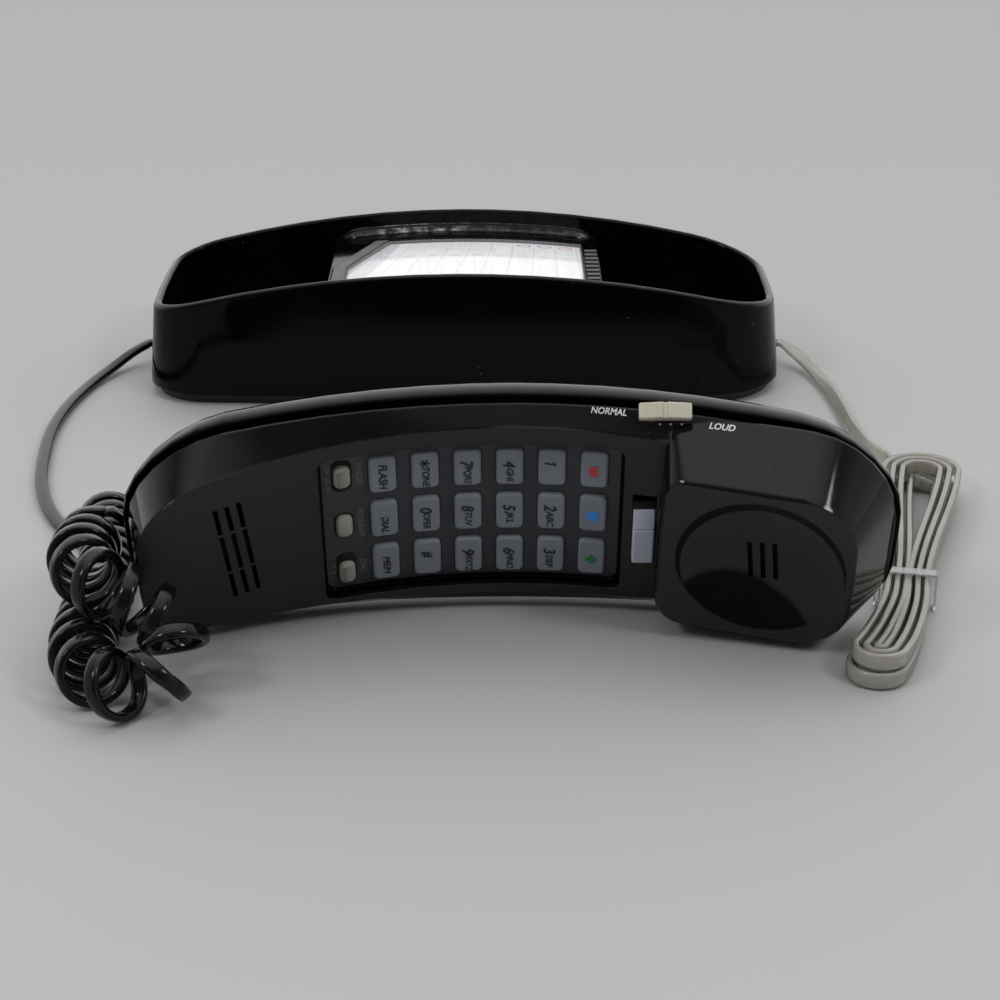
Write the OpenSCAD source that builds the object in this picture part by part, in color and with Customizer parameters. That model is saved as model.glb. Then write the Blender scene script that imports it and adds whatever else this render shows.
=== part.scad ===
// Slimline corded wall phone: a cradle base lying on its back and a handset standing in front of it.
// Origin: centre of the base's underside. +X towards the ear end, +Y away from the handset, +Z up.
// Handset pieces are drawn in the handset's own axes: u (x) along it towards the ear, v (y) across it,
// w (z) out of its face from the seam between its two shells, and handset_pose() stands them up.

/* [Base] */
// Length of the base at its rim
base_len = 224; // [215:1:235]
// Width of the base at its rim
base_w = 87.5; // [86:0.5:94]
// Rim height at the middle of the base
rim_mid = 47.7; // [46:0.1:54]
// Rim height at the two ends
rim_end = 32; // [30:0.5:36]
// Corner radius at the mouth end
base_r_mouth = 17; // [14:1:22]
// Corner radius at the ear end
base_r_ear = 24; // [18:1:28]
// Thickness of the base's side walls
base_wall = 3.2; // [2.4:0.1:3.6]
// How far each side leans out from the rim to the bottom edge
base_flare = 2.2; // [0.5:0.1:3]
// Thickness of the bottom plate, which lifts the shell off the table
plate_t = 3.5; // [3:0.1:5]
// How far the bottom plate is set in from the shell's bottom edge
plate_inset = 3; // [2:0.5:6]
// Thickness of the floor of the two wells
well_floor = 3.6; // [3:0.1:5]
// Length of the platform between the wells
platform_len = 99; // [90:1:104]
// Depth of the platform's top below the rim
platform_drop = 8; // [7:0.5:10]

/* [Wall mount] */
// Distance between the two keyholes
keyhole_span = 100; // [80:1:102]
// Width of the keyholes' entries
keyhole_entry = 9; // [8:0.5:11]
// Width of the keyholes' slots
keyhole_slot = 4.4; // [4:0.1:5]
// Length of the keyholes' slots
keyhole_slot_l = 9; // [7:0.5:10]
// Diameter of the rubber feet
foot_d = 10; // [8:0.5:12]

/* [Index card] */
// Length of the index card
card_len = 87; // [80:1:88]
// Width of the index card
card_w = 60; // [50:1:64]
// Thickness of the clear cover
window_t = 1.1; // [1:0.1:1.4]

/* [Handset] */
// Length of the handset at its seam
hs_len = 210; // [205:1:212]
// Width of the handset at its seam
hs_w = 74.5; // [73:0.5:78]
// Corner radius of the seam's outline
hs_r = 26; // [24:1:28]
// How much the long sides draw in towards the ends
hs_bow = 5; // [3:0.5:6]
// Rise of the seam from the middle to the ends
seam_sag = 17.5; // [15:0.5:19]
// Depth of the back shell behind the seam
back_depth = 14.5; // [14:0.5:17]
// Wall of the handset's shells
hs_wall = 2.2; // [2:0.1:2.6]
// Height of the face over the seam at the middle
face_mid = 6; // [5.8:0.1:7]
// Rise of the face from the middle to the ends
face_sag = 32; // [30:0.5:33]
// Width of the face at the middle
face_w = 60.5; // [60:0.5:63]
// How far the handset leans forward on its lower side
lean = 18; // [17:0.5:18.5]

/* [Ear piece] */
// Length of the raised ear piece
ear_len = 51.5; // [50:0.5:53]
// Width of the raised ear piece
ear_w = 51; // [50:0.5:53]
// Height of its face over the seam, at its middle
ear_mid = 28.6; // [28:0.2:30]
// Rise of its face per millimetre towards the ear end
ear_slope = 0.25; // [0.2:0.01:0.28]
// Diameter of the round dish in its face
dish_d = 46.5; // [44:0.5:47]
// Depth of the dish
dish_depth = 5; // [4:0.2:5.6]

/* [Keys] */
// Distance between keys along the handset
key_pitch_u = 11.35; // [11:0.05:11.6]
// Distance between keys across the handset
key_pitch_v = 16; // [15.8:0.1:16.2]
// Key size along the handset
key_u = 7.6; // [7:0.1:8.4]
// Key size across the handset
key_v = 12.6; // [12:0.1:13.6]
// How far the keys stand over the panel
key_up = 2.3; // [2:0.1:2.8]
// Travel of the keys
key_travel = 1; // [0.8:0.1:1.2]
// Running gap round the keys
key_gap = 0.2; // [0.15:0.01:0.22]

/* [Cords] */
// Width of the flat handset cord
curl_cord_w = 4.2; // [4:0.1:4.4]
// Thickness of the flat handset cord
curl_cord_t = 2.4; // [2:0.1:2.6]
// Diameter of the curls, over the cord
curl_od = 18.5; // [17.5:0.5:18.5]
// Width of the flat line cord
line_cord_w = 4.6; // [4.2:0.1:4.8]
// Thickness of the flat line cord
line_cord_t = 2; // [1.8:0.1:2.2]

/* [Hidden] */
KEYS = ["key_flash", "key_redial", "key_memory", "key_star", "key_0", "key_pound",
        "key_7", "key_8", "key_9", "key_4", "key_5", "key_6",
        "key_1", "key_2", "key_3", "key_fire", "key_police", "key_medical"];
$fn = 32;

e = 0.01;                 // overcut of holes through a face
gap = 0.2;                // clearance of pieces that drop into each other
seam_gap = 0.1;           // gap between the two handset shells
screw_d = 2.9;            // shank of all the screws
screw_head_d = 5.4;       // head of all the screws
screw_head_h = 1.6;

// ---------- curves and outlines ----------

function arc_r(half, sag) = (half * half + sag * sag) / (2 * sag);
function arc_rise(x, r) = r - sqrt(r * r - x * x);
function unit(v) = v / norm(v);

// Outline of a long rounded shape, as points over its upper half and then back along its lower half.
function plan(long, wide, r_l, r_r, bow = 0, end_bow = 0, cx = 0, inset = 0, corner = 6, side = 12) =
    let (a = long / 2 - inset, b = wide / 2 - inset, rl = max(r_l - inset, 1), rr = max(r_r - inset, 1),
         upper = concat(
            [[-a, (b - rl) * 0.4]],
            [for (k = [0:corner]) let (t = 90 * k / corner)
                [-a + rl * (1 - cos(t)), b - rl * (1 - sin(t))]],
            [for (k = [1:side - 1]) [-a + rl + (2 * a - rl - rr) * k / side, b]],
            [for (k = [0:corner]) let (t = 90 * k / corner)
                [a - rr * (1 - sin(t)), b - rr * (1 - cos(t))]],
            [[a, (b - rr) * 0.4]]),
         bent = [for (p = upper) [cx + p.x - sign(p.x) * end_bow * pow(p.y / b, 2),
                                  p.y * (1 - bow / b * pow(p.x / a, 2))]])
    concat(bent, [for (i = [len(bent) - 1:-1:0]) [bent[i].x, -bent[i].y]]);

// The same outline lifted to a height that is a function of x.
function lifted(outline, height) = [for (p = outline) [p.x, p.y, height(p.x)]];

// Closed solid through a row of rings that all have the same number of points.
module skin(rings) {
    n = len(rings[0]);
    m = len(rings);
    h = n / 2;
    sides = [for (k = [0:m - 2], i = [0:n - 1]) let (a = k * n + i, b = k * n + (i + 1) % n)
        each [[a, b, b + n], [a, b + n, a + n]]];
    cap = [for (i = [0:h - 2]) each [[i, i + 1, n - 2 - i], [i, n - 2 - i, n - 1 - i]]];
    first_cap = [for (f = cap) [f[2], f[1], f[0]]];
    last_cap = [for (f = cap) [for (i = f) i + (m - 1) * n]];
    polyhedron(points = [for (r = rings) each r], faces = concat(sides, first_cap, last_cap));
}

// Rectangle with true round corners, centred.
module round_rect(x, y, r) {
    square([x - 2 * r, y], center = true);
    square([x, y - 2 * r], center = true);
    for (i = [-1, 1], j = [-1, 1]) translate([i * (x / 2 - r), j * (y / 2 - r)]) circle(r, $fn = 16);
}

module round_block(x, y, z, r) {
    linear_extrude(z) round_rect(x, y, r);
}

module screw(length) {
    cylinder(d = screw_d, h = length, $fn = 20);
    cylinder(d = screw_head_d, h = screw_head_h, $fn = 20);
}

// ---------- base ----------

rim_r = arc_r(base_len / 2, rim_mid - rim_end);
function rim_z(x) = rim_mid - arc_rise(x, rim_r);
function base_plan(inset = 0) = plan(base_len, base_w, base_r_mouth, base_r_ear, 2.9, 1.8, 0, inset);
well_z = plate_t + well_floor;
jack_y = 11.4;            // modular jack, across
jack_x = 13;              // modular jack, along the base
jack_z = 9.2;             // modular jack, height
jack_bore_y = 7.9;        // opening for the plug, across
jack_bore_z = 6.8;
jack_out = base_len / 2 + 0.6;
jack_in = jack_out - jack_x;
jack_wall = 2.2;          // wall of the pocket that holds a jack
screw_x = 66;
screw_y = 31;
boss_d = 8;
foot_x = 88;
foot_y = 29;
foot_h = 1.6;
platform_top = rim_mid - platform_drop;
platform_wall = 2.5;

module under_arch(drop, depth) {
    translate([0, 0, rim_mid - drop - rim_r]) rotate([90, 0, 0])
        cylinder(r = rim_r, h = depth, center = true, $fn = 240);
}

module base_bowl() {
    skin([
        lifted(base_plan(-base_flare), function (x) plate_t),
        lifted(base_plan(-base_flare * 0.9), function (x) plate_t + 4),
        lifted(base_plan(0), function (x) rim_z(x) - 1.3),
        lifted(base_plan(0.4), function (x) rim_z(x) - 0.4),
        lifted(base_plan(1.2), function (x) rim_z(x)),
        lifted(base_plan(base_wall - 1.1), function (x) rim_z(x)),
        lifted(base_plan(base_wall - 0.2), function (x) rim_z(x) - 0.7),
        lifted(base_plan(base_wall + 0.6), function (x) well_z + 5),
        lifted(base_plan(base_wall + 3.5), function (x) well_z)
    ]);
}

module platform_slab(long, inset, drop, z0) {
    intersection() {
        under_arch(drop, base_w);
        translate([0, 0, z0]) linear_extrude(rim_mid) intersection() {
            polygon(base_plan(base_wall + inset));
            square([long, base_w], center = true);
        }
    }
}

module jack_pocket_walls(s) {
    translate([s * (jack_in - jack_wall / 2 + base_len / 2 - base_wall) / 2, 0,
               plate_t + (jack_z + jack_wall) / 2])
        cube([base_len / 2 - base_wall - jack_in + jack_wall, jack_y + 2 * jack_wall, jack_z + jack_wall],
             center = true);
}

module jack_pocket(s) {
    translate([s > 0 ? jack_in - gap : -base_len, -jack_y / 2 - gap, plate_t - e])
        cube([base_len - jack_in + gap, jack_y + 2 * gap, jack_z + gap + e]);
}

module base_shell() {
    color([0.05, 0.05, 0.055]) difference() {
        union() {
            base_bowl();
            platform_slab(platform_len, 0, platform_drop, plate_t);
            for (s = [-1, 1]) jack_pocket_walls(s);
        }
        // space for the board under the platform
        platform_slab(platform_len - 2 * platform_wall, platform_wall, platform_drop + card_pocket + 1.6,
                      plate_t - e);
        for (s = [-1, 1]) jack_pocket(s);
        for (i = [-1, 1], j = [-1, 1]) translate([i * screw_x, j * screw_y, plate_t - e])
            cylinder(d = screw_d + 0.1, h = well_floor - 1, $fn = 20);
        // room for the heads of the wall screws behind the keyholes
        for (s = [-1, 1]) translate([s * keyhole_span / 2 - 6, -6, plate_t - e])
            cube([keyhole_slot_l + 11, 12, well_floor - 1]);
        // pocket of the index card and its slanted strip, and the slot of the catch
        difference() {
            linear_extrude(rim_mid) card_outline(gap, strip_w);
            under_arch(platform_drop + card_pocket, base_w);
        }
        translate([strip_x, 0, platform_z(strip_x) - strip_deep]) linear_extrude(platform_drop)
            square([strip_w, strip_y + 2 * gap], center = true);
    }
}

card_t = 0.4;
window_sink = 0.3;        // how far the cover lies below the platform's curved top
card_gap = 0.05;
card_pocket = window_sink + window_t + card_t + card_gap;
card_slant = 14;          // how far the card's mouth end slants along the base
strip_w = 5;              // width of the strips at the card's ends
strip_y = 44;             // length of the ribbed catch across the base
strip_deep = 3.4;
strip_x = card_len / 2 + 0.6 + strip_w / 2;

function platform_z(x) = platform_top - arc_rise(x, rim_r);

// Outline of the card, grown by a margin, with room for the strip along its slanted end.
module card_outline(grow, strip = 0) {
    a = card_len / 2;
    b = card_w / 2;
    polygon([[a + grow, b + grow], [card_slant - a - strip - grow, b + grow], [-a - strip - grow, 0],
             [-a - strip - grow, -b - grow], [a + grow, -b - grow]]);
}

// Sheet of the card's outline that follows the arch between two depths below the platform's top.
module card_sheet(top, bottom) {
    difference() {
        intersection() {
            linear_extrude(rim_mid) children();
            under_arch(platform_drop + top, base_w);
        }
        under_arch(platform_drop + bottom, base_w);
    }
}

module index_card() {
    color("white") card_sheet(card_pocket - card_t - card_gap, card_pocket - card_gap) card_outline(-0.5);
}

module card_window() {
    color([0.9, 0.95, 1, 0.35]) card_sheet(window_sink, window_sink + window_t) card_outline(0);
}

// Slanted strip beside the card.
module card_bezel() {
    color([0.45, 0.46, 0.48]) card_sheet(-window_sink, card_pocket - card_gap) difference() {
        card_outline(0, strip_w - gap);
        card_outline(0.1);
    }
}

// Ribbed catch: it presses the handset's hook key and keeps the handset on the wall.
module rest_catch() {
    rib_n = 9;
    rib_pitch = strip_y / rib_n;
    rib_h = 0.8;
    color([0.16, 0.16, 0.17]) translate([strip_x, 0, platform_z(strip_x) - strip_deep + 0.05]) {
        linear_extrude(strip_deep) square([strip_w - 2 * gap, strip_y], center = true);
        for (i = [0:rib_n - 1]) translate([0, (i - (rib_n - 1) / 2) * rib_pitch, strip_deep + rib_h / 2 - e])
            cube([strip_w - 2 * gap, rib_pitch * 0.5, rib_h], center = true);
    }
}

module keyhole() {
    cylinder(d = keyhole_entry, h = plate_t * 3, center = true);
}

module base_plate() {
    plate = base_plan(plate_inset - base_flare);
    color([0.09, 0.09, 0.095]) difference() {
        linear_extrude(plate_t - 0.05) polygon(plate);
        for (s = [-1, 1]) translate([s * keyhole_span / 2, 0, 0]) {
            keyhole();
            translate([keyhole_slot_l / 2, 0, 0])
                cube([keyhole_slot_l, keyhole_slot, plate_t * 3], center = true);
            translate([keyhole_slot_l, 0, 0]) cylinder(d = keyhole_slot, h = plate_t * 3, center = true);
        }
        for (i = [-1, 1], j = [-1, 1]) {
            translate([i * screw_x, j * screw_y, -e]) {
                cylinder(d = screw_d + 0.4, h = plate_t + 1, $fn = 20);
                cylinder(d = screw_head_d + 0.4, h = screw_head_h + 0.4, $fn = 20);
            }
            translate([i * foot_x, j * foot_y, -e]) cylinder(d = foot_d + 2 * gap, h = foot_h + e);
        }
    }
}

module base_feet() {
    color([0.2, 0.2, 0.21]) for (i = [-1, 1], j = [-1, 1]) translate([i * foot_x, j * foot_y, 0])
        cylinder(d = foot_d, h = foot_h - 0.05);
}

module base_screws() {
    color("silver") for (i = [-1, 1], j = [-1, 1]) translate([i * screw_x, j * screw_y, 0.35])
        screw(plate_t + well_floor - 2.4);
}

board_z = plate_t + 0.1;
module base_board() {
    color([0.1, 0.35, 0.2]) translate([0, 0, board_z]) {
        linear_extrude(1.6) square([66, 30], center = true);
        translate([-18, 0, 1.6 - e]) linear_extrude(5) square([14, 10], center = true);
        translate([16, 4, 1.6 - e]) cylinder(d = 8, h = 9);
    }
}

// Modular jack lying along x with its opening at the +x side.
module jack(bore_y) {
    difference() {
        translate([-jack_x, -jack_y / 2, 0]) cube([jack_x, jack_y, jack_z]);
        translate([-plug_in - 0.4, -bore_y / 2, (jack_z - jack_bore_z) / 2])
            cube([plug_in + 1, bore_y, jack_bore_z]);
        translate([-plug_in - 0.4, -1.7, (jack_z - jack_bore_z) / 2 - 0.7]) cube([plug_in + 1, 3.4, 2]);
    }
}

plug_in = 9.6;            // how far a plug goes into its jack
plug_x = 11.6;            // length of a plug's body
plug_z = 6.5;             // height of a plug's body

// Modular plug whose front is at x = 0 and whose cord leaves at +x.
module plug(wide) {
    translate([0, -wide / 2, -plug_z / 2]) cube([plug_x, wide, plug_z]);
    translate([2, -1.4, -plug_z / 2 - 0.5]) cube([plug_x - 1, 2.8, 0.5 + e]);
}

plug_curly = jack_bore_y - 0.3;
line_bore_y = jack_bore_y + 2;
plug_line = line_bore_y - 0.3;
jack_mid = plate_t + jack_z / 2;

module at_base_jack(s) {
    translate([s * jack_out, 0, plate_t + 0.05]) rotate([0, 0, s > 0 ? 0 : 180]) children();
}

module cord_jack() {
    color([0.12, 0.12, 0.13]) at_base_jack(-1) jack(jack_bore_y);
}

module line_jack() {
    color([0.12, 0.12, 0.13]) at_base_jack(1) jack(line_bore_y);
}

module curly_plug_base() {
    color([0.75, 0.78, 0.8, 0.5]) at_base_jack(-1) translate([-plug_in, 0, jack_z / 2]) plug(plug_curly);
}

module line_plug_base() {
    color([0.8, 0.83, 0.85, 0.5]) at_base_jack(1) translate([-plug_in, 0, jack_z / 2]) plug(plug_line);
}

// ---------- handset ----------

hs_x = hs_len / 2 - 89;   // where the handset stands: its mouth end clears the curled cord
hs_y = -214.5;
hs_z = hs_w / 2 * cos(lean) + 0.5;
seam_r = arc_r(hs_len / 2, seam_sag);
face_r = arc_r(hs_len / 2, face_sag);
function seam_z(u) = arc_rise(u, seam_r);
function face_z(u) = face_mid + arc_rise(u, face_r);
function face_tilt(u) = -asin(u / face_r);
face_len = hs_len - 12.5;
face_cx = -0.9;
face_bow = 6.4;
face_corner = 16;
function hs_plan(inset = 0) = plan(hs_len, hs_w, hs_r, hs_r, hs_bow, 2, 0, inset);
function face_plan(inset = 0) = plan(face_len, face_w, face_corner, face_corner, face_bow, 2, face_cx, inset);

module handset_pose() {
    translate([hs_x, hs_y, hs_z]) rotate([90 + lean, 0, 0]) children();
}

// Own axes of a small area of the keypad's face.
module on_face(u, v) {
    translate([u, v, face_z(u)]) rotate([0, face_tilt(u), 0]) children();
}

module back_skin() {
    skin([
        lifted(hs_plan(22), function (u) seam_z(u) - back_depth),
        lifted(hs_plan(14), function (u) seam_z(u) - back_depth + 0.4),
        lifted(hs_plan(8), function (u) seam_z(u) - back_depth + 1.8),
        lifted(hs_plan(3.6), function (u) seam_z(u) - back_depth + 4.8),
        lifted(hs_plan(1.1), function (u) seam_z(u) - back_depth + 9),
        lifted(hs_plan(0), function (u) seam_z(u) - 1.2),
        lifted(hs_plan(0.3), function (u) seam_z(u) - 0.2),
        lifted(hs_plan(0.9), function (u) seam_z(u)),
        lifted(hs_plan(seam_ledge), function (u) seam_z(u)),
        lifted(hs_plan(seam_ledge + 0.6), function (u) seam_z(u) - 6),
        lifted(hs_plan(seam_ledge + 4.5), function (u) seam_z(u) - back_depth + hs_wall + 1.8),
        lifted(hs_plan(seam_ledge + 17), function (u) seam_z(u) - back_depth + hs_wall)
    ]);
}

seam_ledge = 5;           // width of the back shell's rim
groove_in = 2.9;          // how far the front shell's foot is set in from the rim
groove_h = 1.6;
wall_in = 1.7;            // how far the front shell's wall is set in from the rim
ear_u = hs_len / 2 - 39.7;              // middle of the raised ear piece
ear_r = 14.7;
ear_r_inner = 6;
function ear_z(u) = ear_mid + ear_slope * (u - ear_u);
ear_tilt = -atan(ear_slope);
low_from = ear_u - ear_len / 2 + 3;     // from here the face passes under the ear piece
// Height of the face, which stays low under the ear piece.
function skin_z(u) = u < low_from ? face_z(u) : max(seam_z(u) + 3.5, face_z(low_from));

module front_outer() {
    skin([
        lifted(hs_plan(groove_in), function (u) seam_z(u) + seam_gap),
        lifted(hs_plan(groove_in), function (u) seam_z(u) + groove_h),
        lifted(hs_plan(wall_in), function (u) seam_z(u) + groove_h + 0.4),
        lifted(face_plan(0), function (u) skin_z(u) - 0.9),
        lifted(face_plan(0.3), function (u) skin_z(u) - 0.2),
        lifted(face_plan(1), function (u) skin_z(u))
    ]);
    skin(ear_rings(0));
}

ear_foot_u = [hs_len / 2 - 65.5, hs_len / 2 - 1.6];     // ends of the ear piece at its foot
function ear_foot(t) = plan(ear_foot_u[1] - ear_foot_u[0] - 2 * t, hs_w - 2 * wall_in - 2.4, 3, hs_r - 4, 1.6,
                            1.2, (ear_foot_u[0] + ear_foot_u[1]) / 2, t);
function ear_plan(inset) = plan(ear_len, ear_w, ear_r_inner, ear_r, 0, 0.8, ear_u, inset);
function ear_rings(t) = [
    lifted(ear_foot(t + 0.4), function (u) seam_z(u) + groove_h + 0.5 - t),
    lifted(ear_plan(t - 0.5), function (u) ear_z(u) - 1.6 - ear_roof * t / hs_wall),
    lifted(ear_plan(t + 0.2), function (u) ear_z(u) - 0.4 - ear_roof * t / hs_wall),
    lifted(ear_plan(t + 1), function (u) ear_z(u) - ear_roof * t / hs_wall)];
ear_roof = dish_depth + 2.2;            // thickness of the ear piece's face at its edge

module front_inner() {
    t = hs_wall;
    skin([
        lifted(hs_plan(groove_in + t), function (u) seam_z(u) - 1),
        lifted(hs_plan(groove_in + t), function (u) seam_z(u) + groove_h),
        lifted(face_plan(t), function (u) skin_z(u) - t - 0.2),
        lifted(face_plan(t + 0.6), function (u) skin_z(u) - t)
    ]);
    skin(ear_rings(t));
}

window_u = [-52, 30.3];   // ends of the keypad window
window_v = 51;            // its width
keypad_v = -1;            // how far the keypad lies below the middle line
window_mid = (window_u[0] + window_u[1]) / 2;
hook_u = [33, 39.4];      // opening of the hook key
hook_v = [-14.6, 9.4];
mouth_u = -hs_len / 2 + 30.6;           // middle of the mouth slots
slot_w = 1.2;
mouth_rows = [[11.8, 9], [0, 13], [-11.8, 9]];   // place and length of the three rows

module window_cut(grow, z0, h) {
    translate([window_mid, keypad_v, z0]) linear_extrude(h)
        round_rect(window_u[1] - window_u[0] + 2 * grow, window_v + 2 * grow, 3 + grow);
}

module handset_front() {
    color([0.05, 0.05, 0.055]) handset_pose() difference() {
        union() {
            difference() {
                front_outer();
                front_inner();
            }
            hs_bosses();
        }
        window_cut(0, -e, 30);
        // hook key opening
        translate([hook_u[0], hook_v[0], 0]) cube([hook_u[1] - hook_u[0], hook_v[1] - hook_v[0], 20]);
        // mouth slots
        on_face(mouth_u, 0) for (i = [-1:1], row = mouth_rows) rotate([0, 0, 6])
            translate([i * 3.3, row[0], 0]) cube([slot_w, row[1], 12], center = true);
        // ear dish with its slots
        translate([ear_u + 1, 0, ear_z(ear_u + 1)]) rotate([0, ear_tilt, 0]) {
            translate([0, 0, dish_ball - dish_depth]) sphere(r = dish_ball, $fn = 64);
            for (i = [-1:1]) rotate([0, 0, 6]) translate([i * 3.4, -1, -dish_depth])
                cube([slot_w, 12.5, 20], center = true);
        }
        volume_place() translate([0, 0, volume_slot_z + volume_slot_h / 2])
            cube([volume_stem + volume_travel + 2 * gap, 2 * abs(volume_deep), volume_slot_h], center = true);
    }
}

dish_ball = (dish_d * dish_d / 4 + dish_depth * dish_depth) / (2 * dish_depth);

hs_screw_u = [-hs_len / 2 + 44, hs_len / 2 - 60.4];
hs_screw_sink = 2.2;      // depth of the screw heads in the back
boss_hs_d = 6.5;
function hs_seat_z(u) = seam_z(u) - back_depth + hs_wall + 1.4;

// Bosses of the front shell that take the screws.
module hs_bosses() {
    for (u = hs_screw_u) difference() {
        translate([u, 0, hs_seat_z(u) + 0.02])
            cylinder(d = boss_hs_d, h = skin_z(u) - hs_wall / 2 - hs_seat_z(u));
        translate([u, 0, hs_seat_z(u) - e]) cylinder(d = screw_d + 0.1, h = 9, $fn = 20);
    }
}

module handset_back() {
    color([0.05, 0.05, 0.055]) handset_pose() difference() {
        union() {
            back_skin();
            for (u = hs_screw_u) translate([u, 0, seam_z(u) - back_depth + 1])
                cylinder(d = boss_hs_d + 3, h = hs_seat_z(u) - seam_z(u) + back_depth - 1);
        }
        jack_hole();
        for (u = hs_screw_u) translate([u, 0, seam_z(u) - back_depth - 2]) {
            cylinder(d = screw_d + 0.4, h = 12, $fn = 20);
            cylinder(d = screw_head_d + 0.6, h = 2 + hs_screw_sink, $fn = 20);
        }
    }
}

module handset_screws() {
    color("silver") handset_pose() for (u = hs_screw_u)
        translate([u, 0, seam_z(u) - back_depth + hs_screw_sink - screw_head_h - 0.02]) screw(11);
}

hs_jack_u = -hs_len / 2 + 3.4;          // mouth of the handset's jack
hs_jack_w = 9;                          // its middle over the seam's lowest point

module hs_jack_place() {
    translate([hs_jack_u, 0, hs_jack_w - jack_z / 2]) rotate([0, 0, 180]) children();
}

module jack_hole() {
    translate([-hs_len / 2 - 1, -jack_y / 2 - gap, hs_jack_w - jack_z / 2 - gap])
        cube([hs_jack_u + hs_len / 2 + 1 + jack_x + gap, jack_y + 2 * gap, jack_z + 2 * gap]);
}

module handset_jack() {
    color([0.12, 0.12, 0.13]) handset_pose() hs_jack_place() jack(jack_bore_y);
}

module curly_plug_handset() {
    color([0.75, 0.78, 0.8, 0.5]) handset_pose() hs_jack_place()
        translate([-plug_in, 0, jack_z / 2]) plug(plug_curly);
}

panel_drop = 3.4;         // depth of the keypad panel below the face
panel_t = 1.5;
panel_flange = 1.6;       // how far the panel's border reaches under the shell

// Curved slab that follows the face, between two depths below it.
module face_slab(top, bottom, long, wide, r) {
    intersection() {
        translate([window_mid, keypad_v, -10]) linear_extrude(60) intersection() {
            round_rect(long, wide, r);
            translate([-window_mid, -keypad_v]) polygon(face_plan(hs_wall + 0.9));
        }
        translate([0, 0, face_mid + face_r]) rotate([90, 0, 0]) difference() {
            cylinder(r = face_r + bottom, h = wide * 2, center = true, $fn = 144);
            cylinder(r = face_r + top, h = wide * 2 + 1, center = true, $fn = 144);
        }
    }
}

key_col = [for (i = [0:5]) -34.7 + key_pitch_u * i];
key_row = [for (j = [1:-1:-1]) keypad_v - 0.4 + key_pitch_v * j];
control_u = -45.4;
control_v = [15.3, -2.3, -18.2];
control_x = 4.6;
control_y = 7.4;
control_slide = 2.6;      // travel of the two slides

// Through opening of the panel, square to the face.
module panel_hole(u, v, long, wide, r) {
    on_face(u, v) translate([0, 0, -panel_drop - panel_t - 1])
        round_block(long + 2 * key_gap, wide + 2 * key_gap, panel_t + 2, r);
}

module keypad_panel() {
    long = window_u[1] - window_u[0] + 2 * panel_flange;
    wide = window_v + 2 * panel_flange;
    border = 0.5;         // how far the raised border stays behind the window's edge
    color([0.13, 0.13, 0.14]) handset_pose() difference() {
        union() {
            face_slab(panel_drop, panel_drop + panel_t, long, wide, 4);
            difference() {
                face_slab(hs_wall + 0.05, panel_drop + e, long, wide, 4);
                window_cut(border, -10, 60);
            }
        }
        for (u = key_col, v = key_row) panel_hole(u, v, key_u, key_v, 1.7);
        for (i = [0:2]) panel_hole(control_u, control_v[i], control_x,
                                   control_y + (i == 1 ? 0 : control_slide), 2);
    }
    // posts that carry the board
    color([0.13, 0.13, 0.14]) handset_pose() for (u = [window_u[0] + 1.4, window_u[1] - 0.7], s = [-1, 1])
        translate([u, keypad_v + s * board_post_v, board_top + 0.05])
            cylinder(d = 2, h = face_z(u) - panel_drop - panel_t / 2 - board_top, $fn = 20);
}

flange_t = 0.8;
flange_over = 0.45;       // how far a key's flange reaches under the panel
crown_r = 1.6;

module key(i) {
    u = key_col[floor(i / 3)];
    v = key_row[i % 3];
    bottom = -panel_drop - panel_t - 0.2;
    edge = 0.5;           // bevel round the key's top
    color([0.72, 0.78, 0.84]) handset_pose() on_face(u, v) {
        translate([0, 0, bottom - e])
            round_block(key_u, key_v, key_up - edge - panel_drop - bottom + e, crown_r);
        translate([0, 0, key_up - edge - panel_drop - e])
            round_block(key_u - 2 * edge, key_v - 2 * edge, edge + e, crown_r - 0.3);
        translate([0, 0, bottom - flange_t / 2])
            cube([key_u + 2 * (key_gap + flange_over), key_v + 2 * (key_gap + flange_over), flange_t],
                 center = true);
    }
}

mat_t = 1;
mat_drop = panel_drop + panel_t + 0.2 + flange_t + key_travel + 0.3;

module key_mat() {
    long = key_col[5] - key_col[0] + key_u + 3;
    color([0.6, 0.62, 0.65]) handset_pose() intersection() {
        face_slab(mat_drop, mat_drop + mat_t, 2 * long, window_v - 2, 2);
        translate([(key_col[0] + key_col[5]) / 2, keypad_v, -10]) linear_extrude(60)
            square([long, window_v], center = true);
    }
}

board_top = face_mid - mat_drop - mat_t - 0.25;
board_t = 1.6;
board_post_v = 21.5;      // the posts' distance from the middle of the keypad

module main_board() {
    color([0.1, 0.35, 0.2]) handset_pose() {
        translate([(window_u[0] + hook_u[1] + 1) / 2, keypad_v, board_top - board_t])
            round_block(hook_u[1] + 1 - window_u[0], window_v - 4, board_t, 2);
        translate([window_mid + 8, 8, board_top - board_t - 2.2]) linear_extrude(2.2 + e)
            square([16, 8], center = true);
        translate([window_mid - 18, -10, board_top - board_t - 3.4]) cylinder(d = 7, h = 3.4 + e);
    }
}

// Cap of a slide or of the push button, moved from the middle of its opening; the slides' caps are ribbed.
module control(i, shift, ribs) {
    stand = 1.9;          // height of the cap over the panel
    color([0.62, 0.61, 0.57]) handset_pose() on_face(control_u, control_v[i]) translate([0, shift, 0]) {
        translate([0, 0, -panel_drop - panel_t - 0.2 - e])
            round_block(control_x, control_y, panel_t + 0.2 + stand + e, 1.8);
        translate([0, 0, -panel_drop - panel_t - 0.2 - flange_t])
            round_block(control_x + 1.3, control_y + 1.3, flange_t, 1.8);
        if (ribs) for (k = [-2:2]) translate([0, k * 1.1, stand - panel_drop])
            cube([control_x - 1.2, 0.5, 0.6], center = true);
    }
}

module ringer_slide() control(0, 0, true);
module program_button() control(1, 0, false);
module dial_slide() control(2, -control_slide / 2, true);

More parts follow.
